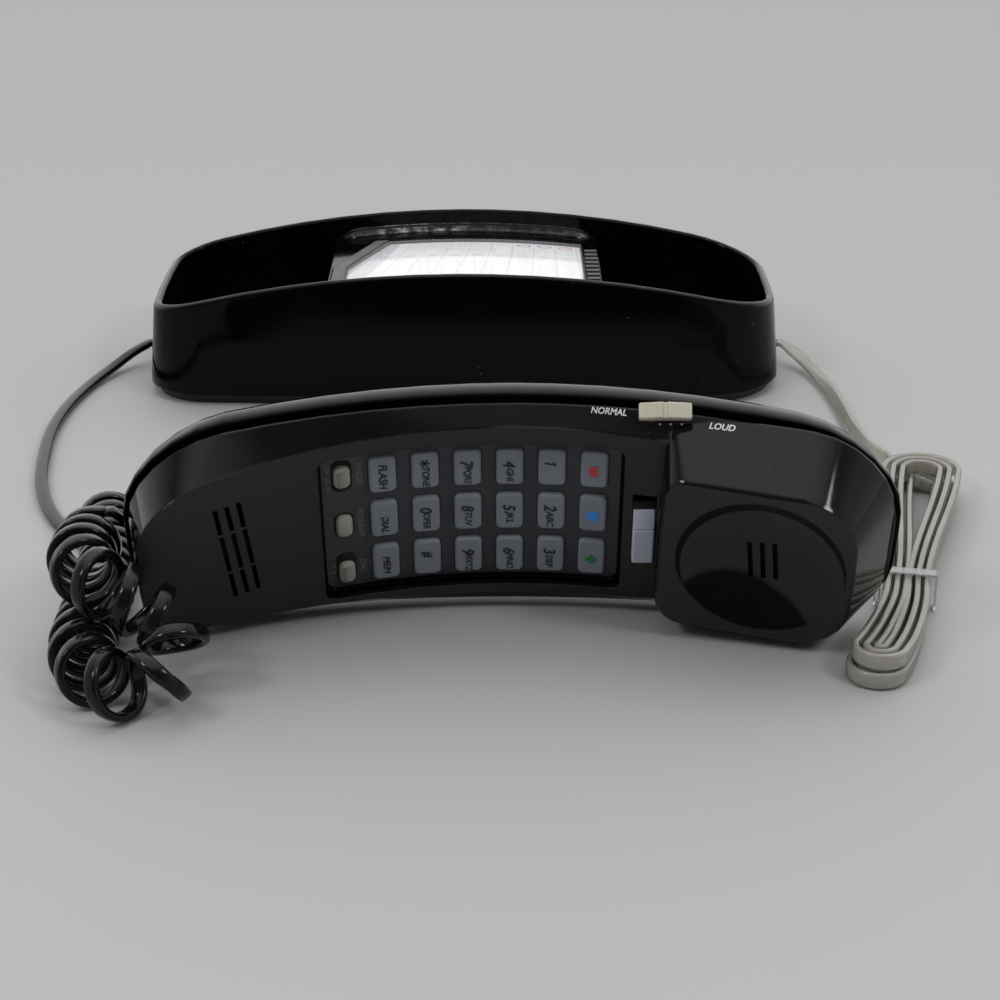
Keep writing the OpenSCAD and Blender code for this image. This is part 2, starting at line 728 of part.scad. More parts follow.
module slide_switches() {
    top = face_z(control_u) - panel_drop - panel_t - 0.2 - flange_t - 1.6;
    color([0.3, 0.3, 0.32]) handset_pose() for (v = control_v)
        translate([control_u - 1, v, board_top + 0.05]) linear_extrude(top - board_top - 0.05)
            square([5, control_y + 1], center = true);
}

hook_key_v = [-14.3, 4.4];
hook_up = 1.6;

module hook_key() {
    u = (hook_u[0] + hook_u[1]) / 2;
    long = hook_key_v[1] - hook_key_v[0];
    color([0.72, 0.78, 0.84]) handset_pose()
    translate([u, (hook_key_v[0] + hook_key_v[1]) / 2, face_z(u) - hs_wall]) {
        round_block(hook_u[1] - hook_u[0] - 2 * gap, long, hs_wall + hook_up, 1);
        translate([0, 0, -1.9]) round_block(hook_u[1] - hook_u[0] + 1, long + 1, 1.2, 1);
        translate([0, 0, -0.8]) round_block(hook_u[1] - hook_u[0] - 2 * gap, long, 0.8 + e, 1);
    }
}

module hook_switch() {
    u = (hook_u[0] + hook_u[1]) / 2;
    top = face_z(u) - hs_wall - 1.9 - 2.3;
    color([0.25, 0.25, 0.27]) handset_pose() translate([u - 0.5, -2.8, board_top + 0.05])
        linear_extrude(top - board_top - 0.05) square([6, 12], center = true);
}

receiver_d = 34;
receiver_h = 8;

module receiver() {
    color([0.35, 0.35, 0.37]) handset_pose() translate([ear_u + 0.5, 0, ear_z(ear_u + 0.5)])
        rotate([0, ear_tilt, 0]) translate([0, 0, -ear_roof * cos(ear_tilt) - 0.05 - receiver_h]) {
            cylinder(d = receiver_d, h = receiver_h);
            translate([0, 0, -1.5]) cylinder(d = receiver_d * 0.6, h = 1.5 + e);
        }
}

module microphone() {
    color([0.35, 0.35, 0.37]) handset_pose() on_face(mouth_u, 0)
        translate([0, 0, -hs_wall - 0.15 - 5.2]) cylinder(d = 10, h = 5.2);
}

ringer_u = -12;

module ringer_disc() {
    color([0.78, 0.66, 0.35]) handset_pose()
        translate([ringer_u, 0, seam_z(ringer_u) - back_depth + hs_wall + 0.3])
            rotate([0, -asin(ringer_u / seam_r), 0]) {
                cylinder(d = 25, h = 2.6);
                translate([0, 0, 2.6 - e]) cylinder(d = 19, h = 0.4);
            }
}

volume_u = 40.5;          // middle of the volume slide
volume_knob = 14;         // length of its knob
volume_stem = 5.5;
volume_travel = 3;
volume_deep = -4.7;       // outer face of the control behind the wall
volume_slot_z = -0.1;     // slot in the wall
volume_slot_h = 2;

// Own axes of the side wall at the volume slide: x along the handset, y out of the wall.
module volume_place() {
    translate([volume_u, hs_w / 2 - 2.65, seam_z(volume_u) + 2.7]) rotate([35, 0, 0]) children();
}

// Knob with two sloping halves and a groove between them, on a stem that goes through the wall.
module volume_slide() {
    a = volume_knob / 2;
    color([0.66, 0.64, 0.57]) handset_pose() volume_place() {
        difference() {
            linear_extrude(4.4, center = true)
                polygon([[-a, 0.6], [a, 0.6], [a, 2.5], [0.9, 3.6], [-0.9, 3.6], [-a, 2.5]]);
            translate([0, 3.6, 0]) cube([0.9, 1.2, 6], center = true);
        }
        translate([-volume_stem / 2, volume_deep + 0.2, volume_slot_z + 0.3])
            cube([volume_stem, 0.6 - volume_deep - 0.2 + e, volume_slot_h - 0.6]);
    }
}

module volume_control() {
    color([0.3, 0.3, 0.32]) handset_pose() volume_place()
        translate([-8, volume_deep - 4.4, volume_slot_z + 0.3]) cube([16, 4.2, 3.3]);
}

// ---------- cords ----------

function spline_point(a, b, c, d, t) =
    (2 * b + (c - a) * t + (2 * a - 5 * b + 4 * c - d) * t * t + (3 * b - a - 3 * c + d) * t * t * t) / 2;
// Smooth route through chosen points, with a fixed number of steps between each two.
function route(p, steps) = let (n = len(p)) concat(
    [for (i = [0:n - 2], k = [0:steps - 1]) spline_point(i > 0 ? p[i - 1] : 2 * p[0] - p[1], p[i], p[i + 1],
        i < n - 2 ? p[i + 2] : 2 * p[n - 1] - p[n - 2], k / steps)], [p[n - 1]]);
// The same with a straight piece at each end, square to what the cord meets.
function square_route(start, p, end) = concat([start], route(p, 3), [end]);
function heading(p, i) = unit(p[min(i + 1, len(p) - 1)] - p[max(i - 1, 0)]);
function first3(p) = [for (q = p) [q[0], q[1], q[2]]];

// Flat section with 8 or 6 corners, as [across, through] pairs.
function flat_section(w, t, sides) = sides == 8 ?
    [[w / 2, t / 4], [w / 3, t / 2], [-w / 3, t / 2], [-w / 2, t / 4],
     [-w / 2, -t / 4], [-w / 3, -t / 2], [w / 3, -t / 2], [w / 2, -t / 4]] :
    [[w / 2, 0], [w / 3, t / 2], [-w / 3, t / 2], [-w / 2, 0], [-w / 3, -t / 2], [w / 3, -t / 2]];
function placed_section(c, across, through, section) =
    [for (i = [0:len(section) - 1]) let (q = section[len(section) - 1 - i])
        c + across * q[0] + through * q[1]];

// Flat cord along a route, turned from one roll angle to another.
module flat_cord(p, w, t, roll_0 = 0, roll_1 = 0) {
    n = len(p);
    skin([for (i = [0:n - 1]) let (d = heading(p, i), s = unit(cross(d, [0, 0, 1])), u = cross(s, d),
            roll = roll_0 + (roll_1 - roll_0) * i / (n - 1))
        placed_section(p[i], -s * cos(roll) + u * sin(roll), s * sin(roll) + u * cos(roll),
                       flat_section(w, t, 8))]);
}

// Spine of the curls: x, y, z and the pitch of the curls there.
curl_route = [[-106, -166, 9.4, 6.6], [-101, -190, 9.4, 6.6], [-99, -214, 9.4, 6.6], [-99, -238, 9.4, 7],
    [-98, -256, 9.4, 8.5], [-92, -270, 9.4, 11], [-82, -276, 9.6, 13], [-73, -271, 12.5, 13],
    [-73, -261, 18, 12], [-82, -257, 23.5, 10], [-92, -254, 28, 9.5], [-98.5, -245, 29, 8.5],
    [-100, -235, 28.8, 7], [-99.5, -224, 28, 6.6]];
curl_r = curl_od / 2 - curl_cord_t / 2;
curl_spine = route(curl_route, 8);
curl_steps = [for (i = [0:len(curl_spine) - 1]) i == 0 ? 0 :
    norm(first3([curl_spine[i] - curl_spine[i - 1]])[0]) * 2 / (curl_spine[i][3] + curl_spine[i - 1][3])];
// Sums of a list so far.
function running(list) =
    [for (i = 0, s = list[0]; i < len(list); i = i + 1, s = s + (i < len(list) ? list[i] : 0)) s];
curl_raw = running(curl_steps);
curl_total = floor(curl_raw[len(curl_raw) - 1]) + 0.5;      // whole curls and a half: in below, out on top
curl_turns = curl_raw * (curl_total / curl_raw[len(curl_raw) - 1]);
rings_a_curl = 8;

// Ring of the curled cord after a number of turns: [centre, spine direction, outward direction, travel].
function curl_frame(turn) =
    let (i = max([for (k = [0:len(curl_turns) - 2]) if (curl_turns[k] <= turn) k]),
         f = (turn - curl_turns[i]) / (curl_turns[i + 1] - curl_turns[i]),
         a = curl_spine[i], b = curl_spine[i + 1], q = a + (b - a) * f,
         da = heading(first3(curl_spine), i), db = heading(first3(curl_spine), i + 1),
         d = unit(da + (db - da) * f), s = unit(cross(d, [0, 0, 1])), u = cross(s, d),
         ang = -90 - 360 * turn, out = s * cos(ang) + u * sin(ang))
    [[q[0], q[1], q[2]] + out * curl_r, d, out, cross(d, out)];

curl_frames = [for (k = [0:rings_a_curl * curl_total]) curl_frame(min(k / rings_a_curl, curl_total - 1e-6))];
curl_end = curl_frames[len(curl_frames) - 1];

// Least distance between the outlines of rings that are at least so many apart.
function least_gap(rings, apart) =
    min([for (i = [0:len(rings) - 1 - apart], j = [i + apart:len(rings) - 1])
        if (norm(rings[i][0] - rings[j][0]) < curl_od) each [for (a = rings[i], b = rings[j]) norm(a - b)]]);

module curly_cord() {
    section = flat_section(curl_cord_w, curl_cord_t, 6);
    straight = curl_cord_w;
    f0 = curl_frames[0];
    f1 = curl_end;
    rings = concat(
        [placed_section(f0[0] - f0[3] * straight, f0[1], f0[2], section)],
        [for (f = curl_frames) placed_section(f[0], f[1], f[2], section)],
        [placed_section(f1[0] + f1[3] * straight, f1[1], f1[2], section)]);
    echo(curls = curl_total, least_gap_of_the_curls = least_gap(rings, rings_a_curl - 2));
    color([0.05, 0.05, 0.055]) skin(rings);
}

cord_floor = curl_cord_t / 2 + 0.15;
cord_exit = [-jack_out - (plug_x - plug_in), 0, plate_t + 0.05 + jack_z / 2];
curl_in = curl_frames[0][0] - curl_frames[0][3] * curl_cord_w;
base_lead_route = concat([cord_exit - [3, 0, 0]], [[-124, -4, 5.4], [-130, -12, 2.6],
    [-136, -28, cord_floor], [-140, -50, cord_floor], [-141, -74, cord_floor], [-139, -98, cord_floor],
    [-136, -118, cord_floor], [-131, -136, cord_floor], [-124, -152, cord_floor]],
    [curl_in - curl_frames[0][3] * 4]);

module curly_lead_base() {
    color([0.05, 0.05, 0.055])
        flat_cord(square_route(cord_exit, base_lead_route, curl_in), curl_cord_w, curl_cord_t);
}

// A point of the handset, given in its own axes, in the phone's axes.
function on_handset(p) = [hs_x + p.x, hs_y - p.y * sin(lean) - p.z * cos(lean),
                          hs_z + p.y * cos(lean) - p.z * sin(lean)];
hs_exit = on_handset([hs_jack_u - (plug_x - plug_in), 0, hs_jack_w]);
curl_out = curl_end[0] + curl_end[3] * (curl_cord_w + 0.3);

module curly_lead_handset() {
    color([0.05, 0.05, 0.055])
        flat_cord(square_route(curl_out, [curl_out + curl_end[3] * 2, hs_exit - [2.5, 0, 0]], hs_exit),
                  curl_cord_w, curl_cord_t);
}

// Hank of the line cord: flat loops on edge, in two layers, along a bent spine. The tie draws them together.
hank_spine = route([[108, -262, 0], [117, -246, 0], [125, -224, 0], [129, -206, 0], [136, -176, 0],
                    [145, -138, 0], [151, -112, 0]], 6);
hank_loops = 6;
hank_r = [8.6, 12];       // outer loop at its lower and its upper end
hank_step = [line_cord_t + 0.5, line_cord_t + 0.9];    // between loops at the tie and at the ends
hank_waist = 6.9;         // outer loop at the tie
hank_len = 150;
rings_a_loop = 24;
hank_layer = line_cord_w + 0.85;
tie_s = -20;              // place of the tie along the hank
tie_w = 4;
tie_t = 0.6;
tie_gap = 0.3;            // from the loops to the tie

function polyline_steps(p) = running([for (i = [0:len(p) - 1]) i == 0 ? 0 : norm(p[i] - p[i - 1])]);
hank_run = polyline_steps(hank_spine);
function hank_frame(s, q, z) =
    let (at = min(max(s + hank_run[len(hank_run) - 1] / 2, 0), hank_run[len(hank_run) - 1] - e),
         i = max([for (k = [0:len(hank_run) - 2]) if (hank_run[k] <= at) k]),
         over = s + hank_run[len(hank_run) - 1] / 2 - at,
         f = (at - hank_run[i]) / (hank_run[i + 1] - hank_run[i]),
         da = heading(hank_spine, i), db = heading(hank_spine, i + 1), d = unit(da + (db - da) * f),
         left = cross([0, 0, 1], d))
    hank_spine[i] + (hank_spine[i + 1] - hank_spine[i]) * f + d * over + left * q + [0, 0, z];

// Half width of a loop, counted from the outermost as 0, at a place along the hank.
function hank_end_r(turn, upper) = hank_r[upper] - hank_step[1] * turn;
function hank_half(turn, s) =
    let (upper = s > tie_s ? 1 : 0, far = hank_len / 2 - hank_r[upper] - (upper * 2 - 1) * tie_s,
         f = min(abs(s - tie_s) / far, 1), open = f * f * (3 - 2 * f),
         waist = hank_waist - hank_step[0] * turn)
    waist + (hank_end_r(turn, upper) - waist) * open;

// A ring of the hank: two half turns at its ends, and a run on each side between them.
function hank_point(k) =
    let (turn = k / rings_a_loop, half = hank_loops / 2, j = (k + 6) % rings_a_loop,
         from_out = turn <= half ? turn : hank_loops - turn,
         climb = min(max((turn - half + 0.15) / 0.3, 0), 1),
         ends = [-hank_len / 2 + hank_r[0], hank_len / 2 - hank_r[1]], span = ends[1] - ends[0],
         low = hank_end_r(from_out, 0), high = hank_end_r(from_out, 1),
         s = j <= 6 ? ends[1] + high * cos(30 * j - 90) : j <= 12 ? ends[1] - span * (j - 6) / 6 :
             j <= 18 ? ends[0] + low * cos(30 * (j - 12) + 90) : ends[0] + span * (j - 18) / 6,
         q = j <= 6 ? high * sin(30 * j - 90) : j <= 12 ? hank_half(from_out, s) :
             j <= 18 ? low * sin(30 * (j - 12) + 90) : -hank_half(from_out, s))
    hank_frame(s, q, line_cord_w / 2 + hank_layer * climb);
hank_points = [for (k = [0:hank_loops * rings_a_loop]) hank_point(k)];

module line_hank() {
    p = hank_points;
    n = len(p);
    section = flat_section(line_cord_w, line_cord_t, 6);
    d0 = unit(p[1] - p[0]);
    d1 = unit(p[n - 1] - p[n - 2]);
    rings = [for (i = [-1:n]) let (
            c = i < 0 ? p[0] - d0 * line_cord_w : i == n ? p[n - 1] + d1 * line_cord_w : p[i],
            d = i < 1 ? d0 : i > n - 2 ? d1 : heading(p, i), s = unit(cross(d, [0, 0, 1])))
        placed_section(c, cross(s, d), s, section)];
    echo(loops = hank_loops, least_gap_of_the_loops = least_gap(rings, rings_a_loop / 2));
    color([0.7, 0.7, 0.68]) skin(rings);
}

line_exit = [jack_out + (plug_x - plug_in), 0, cord_exit.z];
hank_n = len(hank_points);
hank_d0 = unit(hank_points[1] - hank_points[0]);
hank_d1 = unit(hank_points[hank_n - 1] - hank_points[hank_n - 2]);
hank_in = hank_points[0] - hank_d0 * line_cord_w;
hank_out = hank_points[hank_n - 1] + hank_d1 * line_cord_w;
line_lead_route = concat([line_exit + [3, 0, 0]], [[122, -3, 5.4], [127, -13, 3.1], [130, -28, 2.5],
    [132, -48, 2.5], [133, -70, 2.5], [136, -90, 2.5], [141, -104, 2.6]],
    [hank_in - hank_d0 * 4]);

module line_lead() {
    color([0.7, 0.7, 0.68])
        flat_cord(square_route(line_exit, line_lead_route, hank_in), line_cord_w, line_cord_t, 0, 90);
}

wall_plug_at = [98, -158, 3.8];
wall_plug_exit = wall_plug_at + [plug_x, 0, 0];
line_tail_route = concat([hank_out + hank_d1 * 4], [[131, -143, 6], [125, -153, 4.6], [118, -158, 3.9]],
                         [wall_plug_exit + [3, 0, 0]]);

module line_tail() {
    color([0.7, 0.7, 0.68])
        flat_cord(square_route(hank_out, line_tail_route, wall_plug_exit), line_cord_w, line_cord_t, 90, 0);
}

module line_plug_wall() {
    color([0.8, 0.83, 0.85, 0.5]) translate(wall_plug_at) plug(plug_line);
}

module hank_tie() {
    c = hank_frame(tie_s, 0, 0);
    d = unit(hank_frame(tie_s + 1, 0, 0) - hank_frame(tie_s - 1, 0, 0));
    half = hank_waist + line_cord_t / 2 + tie_gap;
    high = line_cord_w + hank_layer + tie_gap;
    color([0.85, 0.86, 0.86, 0.5]) translate([c.x, c.y, 0]) rotate([0, 0, atan2(d.y, d.x) - 90])
        rotate([90, 0, 0]) linear_extrude(tie_w, center = true) difference() {
            translate([-half - tie_t, 0]) square([2 * (half + tie_t), high + tie_t]);
            translate([-half, -1]) square([2 * half, high + 1]);
        }
}

// ---------- drawing ----------

base_shell();
base_plate();
base_feet();
base_screws();
base_board();
cord_jack();
line_jack();
index_card();
card_window();
card_bezel();
rest_catch();
handset_front();
handset_back();
handset_screws();
keypad_panel();
key_mat();
main_board();
receiver();
microphone();
ringer_disc();
handset_jack();
hook_key();
hook_switch();
ringer_slide();
program_button();
dial_slide();
slide_switches();
volume_slide();
volume_control();
curly_cord();
curly_lead_base();
curly_lead_handset();
curly_plug_base();
curly_plug_handset();
line_lead();
line_hank();
line_tail();
hank_tie();
line_plug_base();
line_plug_wall();
for (i = [0:len(KEYS) - 1]) key(i);
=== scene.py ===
import math

import bmesh
import bpy
from mathutils import Matrix, Vector
from mathutils.bvhtree import BVHTree


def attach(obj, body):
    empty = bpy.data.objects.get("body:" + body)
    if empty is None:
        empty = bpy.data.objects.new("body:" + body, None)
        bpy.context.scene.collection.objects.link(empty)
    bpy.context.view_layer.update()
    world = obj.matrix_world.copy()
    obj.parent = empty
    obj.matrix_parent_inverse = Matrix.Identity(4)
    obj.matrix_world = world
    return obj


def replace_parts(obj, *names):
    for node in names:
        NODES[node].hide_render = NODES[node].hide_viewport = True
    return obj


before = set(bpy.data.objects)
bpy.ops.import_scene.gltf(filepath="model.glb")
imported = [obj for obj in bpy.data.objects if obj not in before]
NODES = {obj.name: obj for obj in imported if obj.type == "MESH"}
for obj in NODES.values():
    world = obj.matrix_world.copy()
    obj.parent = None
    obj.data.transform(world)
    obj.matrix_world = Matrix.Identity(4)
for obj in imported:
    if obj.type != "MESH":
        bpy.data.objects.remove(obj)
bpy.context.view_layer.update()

MM = 0.001
scene = bpy.context.scene

# ------------------------ camera
CAMERA_AT = (0.0127, -0.777, 0.2743)
CAMERA_PITCH = 23.0
CAMERA_LENS = 79.2

camera = bpy.data.objects.new("camera", bpy.data.cameras.new("camera"))
camera.data.lens = CAMERA_LENS
camera.data.sensor_width = 36
camera.location = CAMERA_AT
camera.rotation_euler = (math.radians(90 - CAMERA_PITCH), 0, 0)
scene.collection.objects.link(camera)
scene.camera = camera

# ------------------------ the handset's own axes (u, v, w), in millimetres
HS_X, HS_Y = 16.0, -214.5
HS_W = 74.5
HS_LEN = 210.0
LEAN = math.radians(18)
HS_LIFT = 0.5                           # gap under the handset's lower side
HS_Z = HS_W / 2 * math.cos(LEAN) + HS_LIFT
FACE_MID, FACE_SAG = 6.0, 32.0
FACE_R = ((HS_LEN / 2) ** 2 + FACE_SAG**2) / (2 * FACE_SAG)
DISH_U, DISH_R = 66.3, 22.5             # middle of the ear dish and radius of its rim
SEAM_SAG = 17.5                         # rise of the seam between the shells, from its middle to its ends
SEAM_R = ((HS_LEN / 2) ** 2 + SEAM_SAG**2) / (2 * SEAM_SAG)
HANDSET = (
    Matrix.Translation(Vector((HS_X, HS_Y, HS_Z)) * MM)
    @ Matrix.Rotation(math.radians(90) + LEAN, 4, "X")
    @ Matrix.Scale(MM, 4)
)


def face_z(u):
    return FACE_MID + FACE_R - math.sqrt(FACE_R**2 - u * u)


def seam_z(u):
    return SEAM_R - math.sqrt(SEAM_R**2 - u * u)


def on_face(u, v, z=0.0):
    """Axes of a small area of the keypad's face: x along the handset, y across it, z out of the face."""
    tilt = -math.asin(u / FACE_R)
    return (
        HANDSET
        @ Matrix.Translation((u, v, face_z(u)))
        @ Matrix.Rotation(tilt, 4, "Y")
        @ Matrix.Translation((0, 0, z))
    )


# ------------------------ mesh helpers
def link(name, verts, faces, smooth=True):
    mesh = bpy.data.meshes.new(name)
    mesh.from_pydata([tuple(v) for v in verts], [], faces)
    mesh.update()
    bm = bmesh.new()
    bm.from_mesh(mesh)
    bmesh.ops.recalc_face_normals(bm, faces=bm.faces)
    bm.to_mesh(mesh)
    bm.free()
    for p in mesh.polygons:
        p.use_smooth = smooth
    obj = bpy.data.objects.new(name, mesh)
    scene.collection.objects.link(obj)
    return obj


def tube(name, rings, closed_ends=True, smooth=True):
    """Skin through rings that have the same number of points."""
    n = len(rings[0])
    verts = [p for ring in rings for p in ring]
    faces = []
    for k in range(len(rings) - 1):
        for i in range(n):
            j = (i + 1) % n
            faces.append((k * n + i, k * n + j, (k + 1) * n + j, (k + 1) * n + i))
    if closed_ends:
        faces.append(tuple(reversed(range(n))))
        faces.append(tuple(range((len(rings) - 1) * n, len(rings) * n)))
    return link(name, verts, faces, smooth)


def moved(matrix, rings):
    """The same rings with each point carried by a matrix."""
    return [[matrix @ Vector(p) for p in points] for points in rings]


def slab(outline, low, high):
    """Two rings of one flat outline, at two heights."""
    return [[(x, y, z) for x, y in outline] for z in (low, high)]


def in_metres(rings):
    return [[p * MM for p in points] for points in rings]


def surface_of(node):
    """A node's faces, to be found by rays."""
    mesh = NODES[node].data
    faces = [tuple(p.vertices) for p in mesh.polygons]
    return BVHTree.FromPolygons([v.co.copy() for v in mesh.vertices], faces)


def rounded(half_x, half_y, r, corner=6):
    """Points of a rectangle with round corners, counter-clockwise."""
    r = max(min(r, half_x, half_y), 1e-4)
    points = []
    for sx, sy, start in ((1, 1, 0), (-1, 1, 90), (-1, -1, 180), (1, -1, 270)):
        for k in range(corner + 1):
            a = math.radians(start + 90 * k / corner)
            points.append((sx * (half_x - r) + r * math.cos(a), sy * (half_y - r) + r * math.sin(a)))
    return points


def assign(obj, material):
    obj.data.materials.clear()
    obj.data.materials.append(material)


# ------------------------ materials
class Nodes:
    """Short ways to add nodes to a tree; a value may be a number or another node's output."""

    def __init__(self, tree):
        self.tree = tree

    def node(self, kind, **values):
        made = self.tree.nodes.new(kind)
        for key, value in values.items():
            setattr(made, key, value)
        return made

    def join(self, a, b):
        self.tree.links.new(a, b)

    def ramp(self, value, low, high, out_low=0.0, out_high=1.0, smooth=True):
        made = self.node("ShaderNodeMapRange")
        if smooth:
            made.interpolation_type = "SMOOTHSTEP"
        for key, number in zip(("From Min", "From Max", "To Min", "To Max"), (low, high, out_low, out_high)):
            made.inputs[key].default_value = number
        self.join(value, made.inputs["Value"])
        return made.outputs["Result"]

    def math(self, kind, a, b=None):
        made = self.node("ShaderNodeMath", operation=kind)
        for i, v in enumerate((a, b)):
            if v is None:
                continue
            if isinstance(v, (int, float)):
                made.inputs[i].default_value = v
            else:
                self.join(v, made.inputs[i])
        return made.outputs[0]

    def mix(self, factor, a, b):
        made = self.node("ShaderNodeMix", data_type="RGBA")
        if isinstance(factor, (int, float)):
            made.inputs[0].default_value = factor
        else:
            self.join(factor, made.inputs[0])
        for i, v in ((6, a), (7, b)):
            if isinstance(v, tuple):
                made.inputs[i].default_value = (*v, 1)
            else:
                self.join(v, made.inputs[i])
        return made.outputs[2]

    def mix_value(self, factor, a, b):
        made = self.node("ShaderNodeMix", data_type="FLOAT")
        for i, v in ((0, factor), (2, a), (3, b)):
            if isinstance(v, (int, float)):
                made.inputs[i].default_value = v
            else:
                self.join(v, made.inputs[i])
        return made.outputs[0]

    def distance(self, x, y, at):
        """Distance in a plane from a point."""
        squares = [self.math("POWER", self.math("SUBTRACT", v, c), 2) for v, c in zip((x, y), at)]
        return self.math("SQRT", self.math("ADD", *squares))


class Shader(Nodes):
    """A Principled material whose colour, roughness and bump come from procedural nodes."""

    def __init__(self, name):
        self.material = bpy.data.materials.new(name)
        self.material.use_nodes = True
        super().__init__(self.material.node_tree)
        self.tree.nodes.clear()
        out = self.node("ShaderNodeOutputMaterial")
        self.bsdf = self.node("ShaderNodeBsdfPrincipled")
        self.join(self.bsdf.outputs[0], out.inputs[0])
        self.place = self.node("ShaderNodeTexCoord").outputs["Object"]
        self.round_edges = 0

    def noise(self, scale, detail=3.0, rough=0.5):
        made = self.node("ShaderNodeTexNoise")
        for key, number in (("Scale", scale), ("Detail", detail), ("Roughness", rough)):
            made.inputs[key].default_value = number
        self.join(self.place, made.inputs["Vector"])
        return made.outputs["Fac"]

    def bump(self, height, strength, distance):
        made = self.node("ShaderNodeBump")
        if self.round_edges:
            edge = self.node("ShaderNodeBevel", samples=4)
            edge.inputs["Radius"].default_value = self.round_edges
            self.join(edge.outputs[0], made.inputs["Normal"])
        made.inputs["Strength"].default_value = strength
        made.inputs["Distance"].default_value = distance
        self.join(height, made.inputs["Height"])
        self.join(made.outputs[0], self.bsdf.inputs["Normal"])

    def color(self, value):
        if isinstance(value, tuple):
            self.bsdf.inputs["Base Color"].default_value = (*value, 1)
        else:
            self.join(value, self.bsdf.inputs["Base Color"])

    def rough(self, value):
        if isinstance(value, (int, float)):
            self.bsdf.inputs["Roughness"].default_value = value
        else:
            self.join(value, self.bsdf.inputs["Roughness"])

    def axes(self, matrix):
        """The place in other axes: x, y and z outputs, in that matrix's own units."""
        inverse = matrix.inverted()
        rows = []
        for r in range(3):
            made = self.node("ShaderNodeVectorMath", operation="DOT_PRODUCT")
            self.join(self.place, made.inputs[0])
            made.inputs[1].default_value = inverse[r][:3]
            rows.append(self.math("ADD", made.outputs["Value"], inverse[r][3]))
        return rows

    def facing(self, direction):
        """Cosine of the angle between the surface's own normal and a direction."""
        made = self.node("ShaderNodeVectorMath", operation="DOT_PRODUCT")
        self.join(self.node("ShaderNodeTexCoord").outputs["Normal"], made.inputs[0])
        made.inputs[1].default_value = direction
        return made.outputs["Value"]


def srgb(r, g, b):
    return tuple(((c + 0.055) / 1.055) ** 2.4 if c > 0.04045 else c / 12.92 for c in (r, g, b))


def moulded(name, tone, rough, spread=0.06, grain=900.0, bump=0.05, depth=0.00004, blotch=35.0):
    """Moulded plastic: slightly uneven tone, uneven gloss and a fine grain."""
    s = Shader(name)
    dark = tuple(c * (1 - spread) for c in tone)
    light = tuple(min(c * (1 + spread) + 0.001, 1) for c in tone)
    s.color(s.mix(s.ramp(s.noise(blotch, 4), 0.35, 0.65), dark, light))
    s.rough(s.ramp(s.noise(blotch * 3.1, 5), 0.3, 0.7, rough * 0.85, min(rough * 1.15, 1)))
    s.bump(s.noise(grain, 2), bump, depth)
    return s


# satin and shiny places of the handset's face, in millimetres on the handset's own axes
EAR_BLOCK_W = FACE_MID + 20.5               # faces lower than this belong to the keypad and the mouth end
MOUTH_FADE = -20, 10
LENS_U, LENS_BEND = DISH_U - 7.3, 0.026     # the arc over the dish's dark lens: its middle and its bend
LENS_FADE, LENS_WAVE = (-6.2, -3.0), 1.6    # where the lens fades below that arc, and how uneven its edge is
CRESCENT_AT = DISH_U + 0.6, -2.6            # middle of the circle inside the dark crescent at the upper rim
CRESCENT_FADE = DISH_R - 1.2, DISH_R - 0.7
DARK_SHINE = 0.07


def dusty_gloss(name, tone, shine, face=None):
    """Glossy black plastic with faint smears and a little dust; face adds the handset's satin face."""
    s = Shader(name)
    s.bsdf.inputs["Specular IOR Level"].default_value = shine
    s.round_edges = 0.8 * MM
    specks = s.node("ShaderNodeTexVoronoi", feature="F1")
    specks.inputs["Scale"].default_value = 330
    s.join(s.place, specks.inputs["Vector"])
    near = s.ramp(specks.outputs["Distance"], 0.05, 0.09, 1, 0)
    chosen = s.ramp(s.noise(60, 2), 0.60, 0.66)
    dust = s.math("MULTIPLY", near, chosen)
    film = s.ramp(s.noise(22, 6, 0.6), 0.42, 0.75, 0, 0.12)
    dark = s.mix(film, tone, tuple(c * 2.2 + 0.004 for c in tone))
    s.color(s.mix(s.math("MULTIPLY", dust, 0.5), dark, srgb(0.55, 0.55, 0.54)))
    gloss = s.ramp(s.noise(45, 6, 0.65), 0.3, 0.75, 0.05, 0.13)
    if face is not None:
        direction = (HANDSET.to_3x3() @ Vector((0, 0, 1))).normalized()
        outward = s.ramp(s.facing(direction), 0.72, 0.82)
        x, y, z = s.axes(HANDSET)
        low = s.ramp(s.math("SUBTRACT", z, EAR_BLOCK_W), -1.0, 1.0, 1, 0)
        on_mouth = s.ramp(x, *MOUTH_FADE, 1, 0)
        off_dish = s.ramp(s.distance(x, y, (DISH_U, 0)), DISH_R - 0.5, DISH_R + 0.3)
        satin = s.math("MAXIMUM", s.math("MAXIMUM", low, on_mouth), off_dish)
        gloss = s.mix_value(s.math("MULTIPLY", outward, satin), gloss, face[0])
        # the dish reflects less in a lens along its lower side and in a crescent under its upper rim
        bend = s.math("MULTIPLY", s.math("POWER", s.math("SUBTRACT", x, LENS_U), 2), LENS_BEND)
        from_arc = s.math("ADD", s.math("ADD", y, bend), s.math("MULTIPLY", s.noise(90, 3), LENS_WAVE))
        lens = s.ramp(from_arc, *LENS_FADE, 1, 0)
        crescent = s.ramp(s.distance(x, y, CRESCENT_AT), *CRESCENT_FADE)
        dark_part = s.math("MULTIPLY", s.math("MAXIMUM", lens, crescent), s.math("SUBTRACT", 1, off_dish))
        in_dish = s.math("MULTIPLY", dark_part, s.ramp(z, FACE_MID, FACE_MID + 8))
        level = s.mix_value(outward, shine, face[1])
        s.join(s.mix_value(in_dish, level, DARK_SHINE), s.bsdf.inputs["Specular IOR Level"])
    s.rough(s.math("ADD", gloss, s.math("MULTIPLY", dust, 0.3)))
    s.bump(s.noise(700, 2), 0.02, 0.00003)
    return s


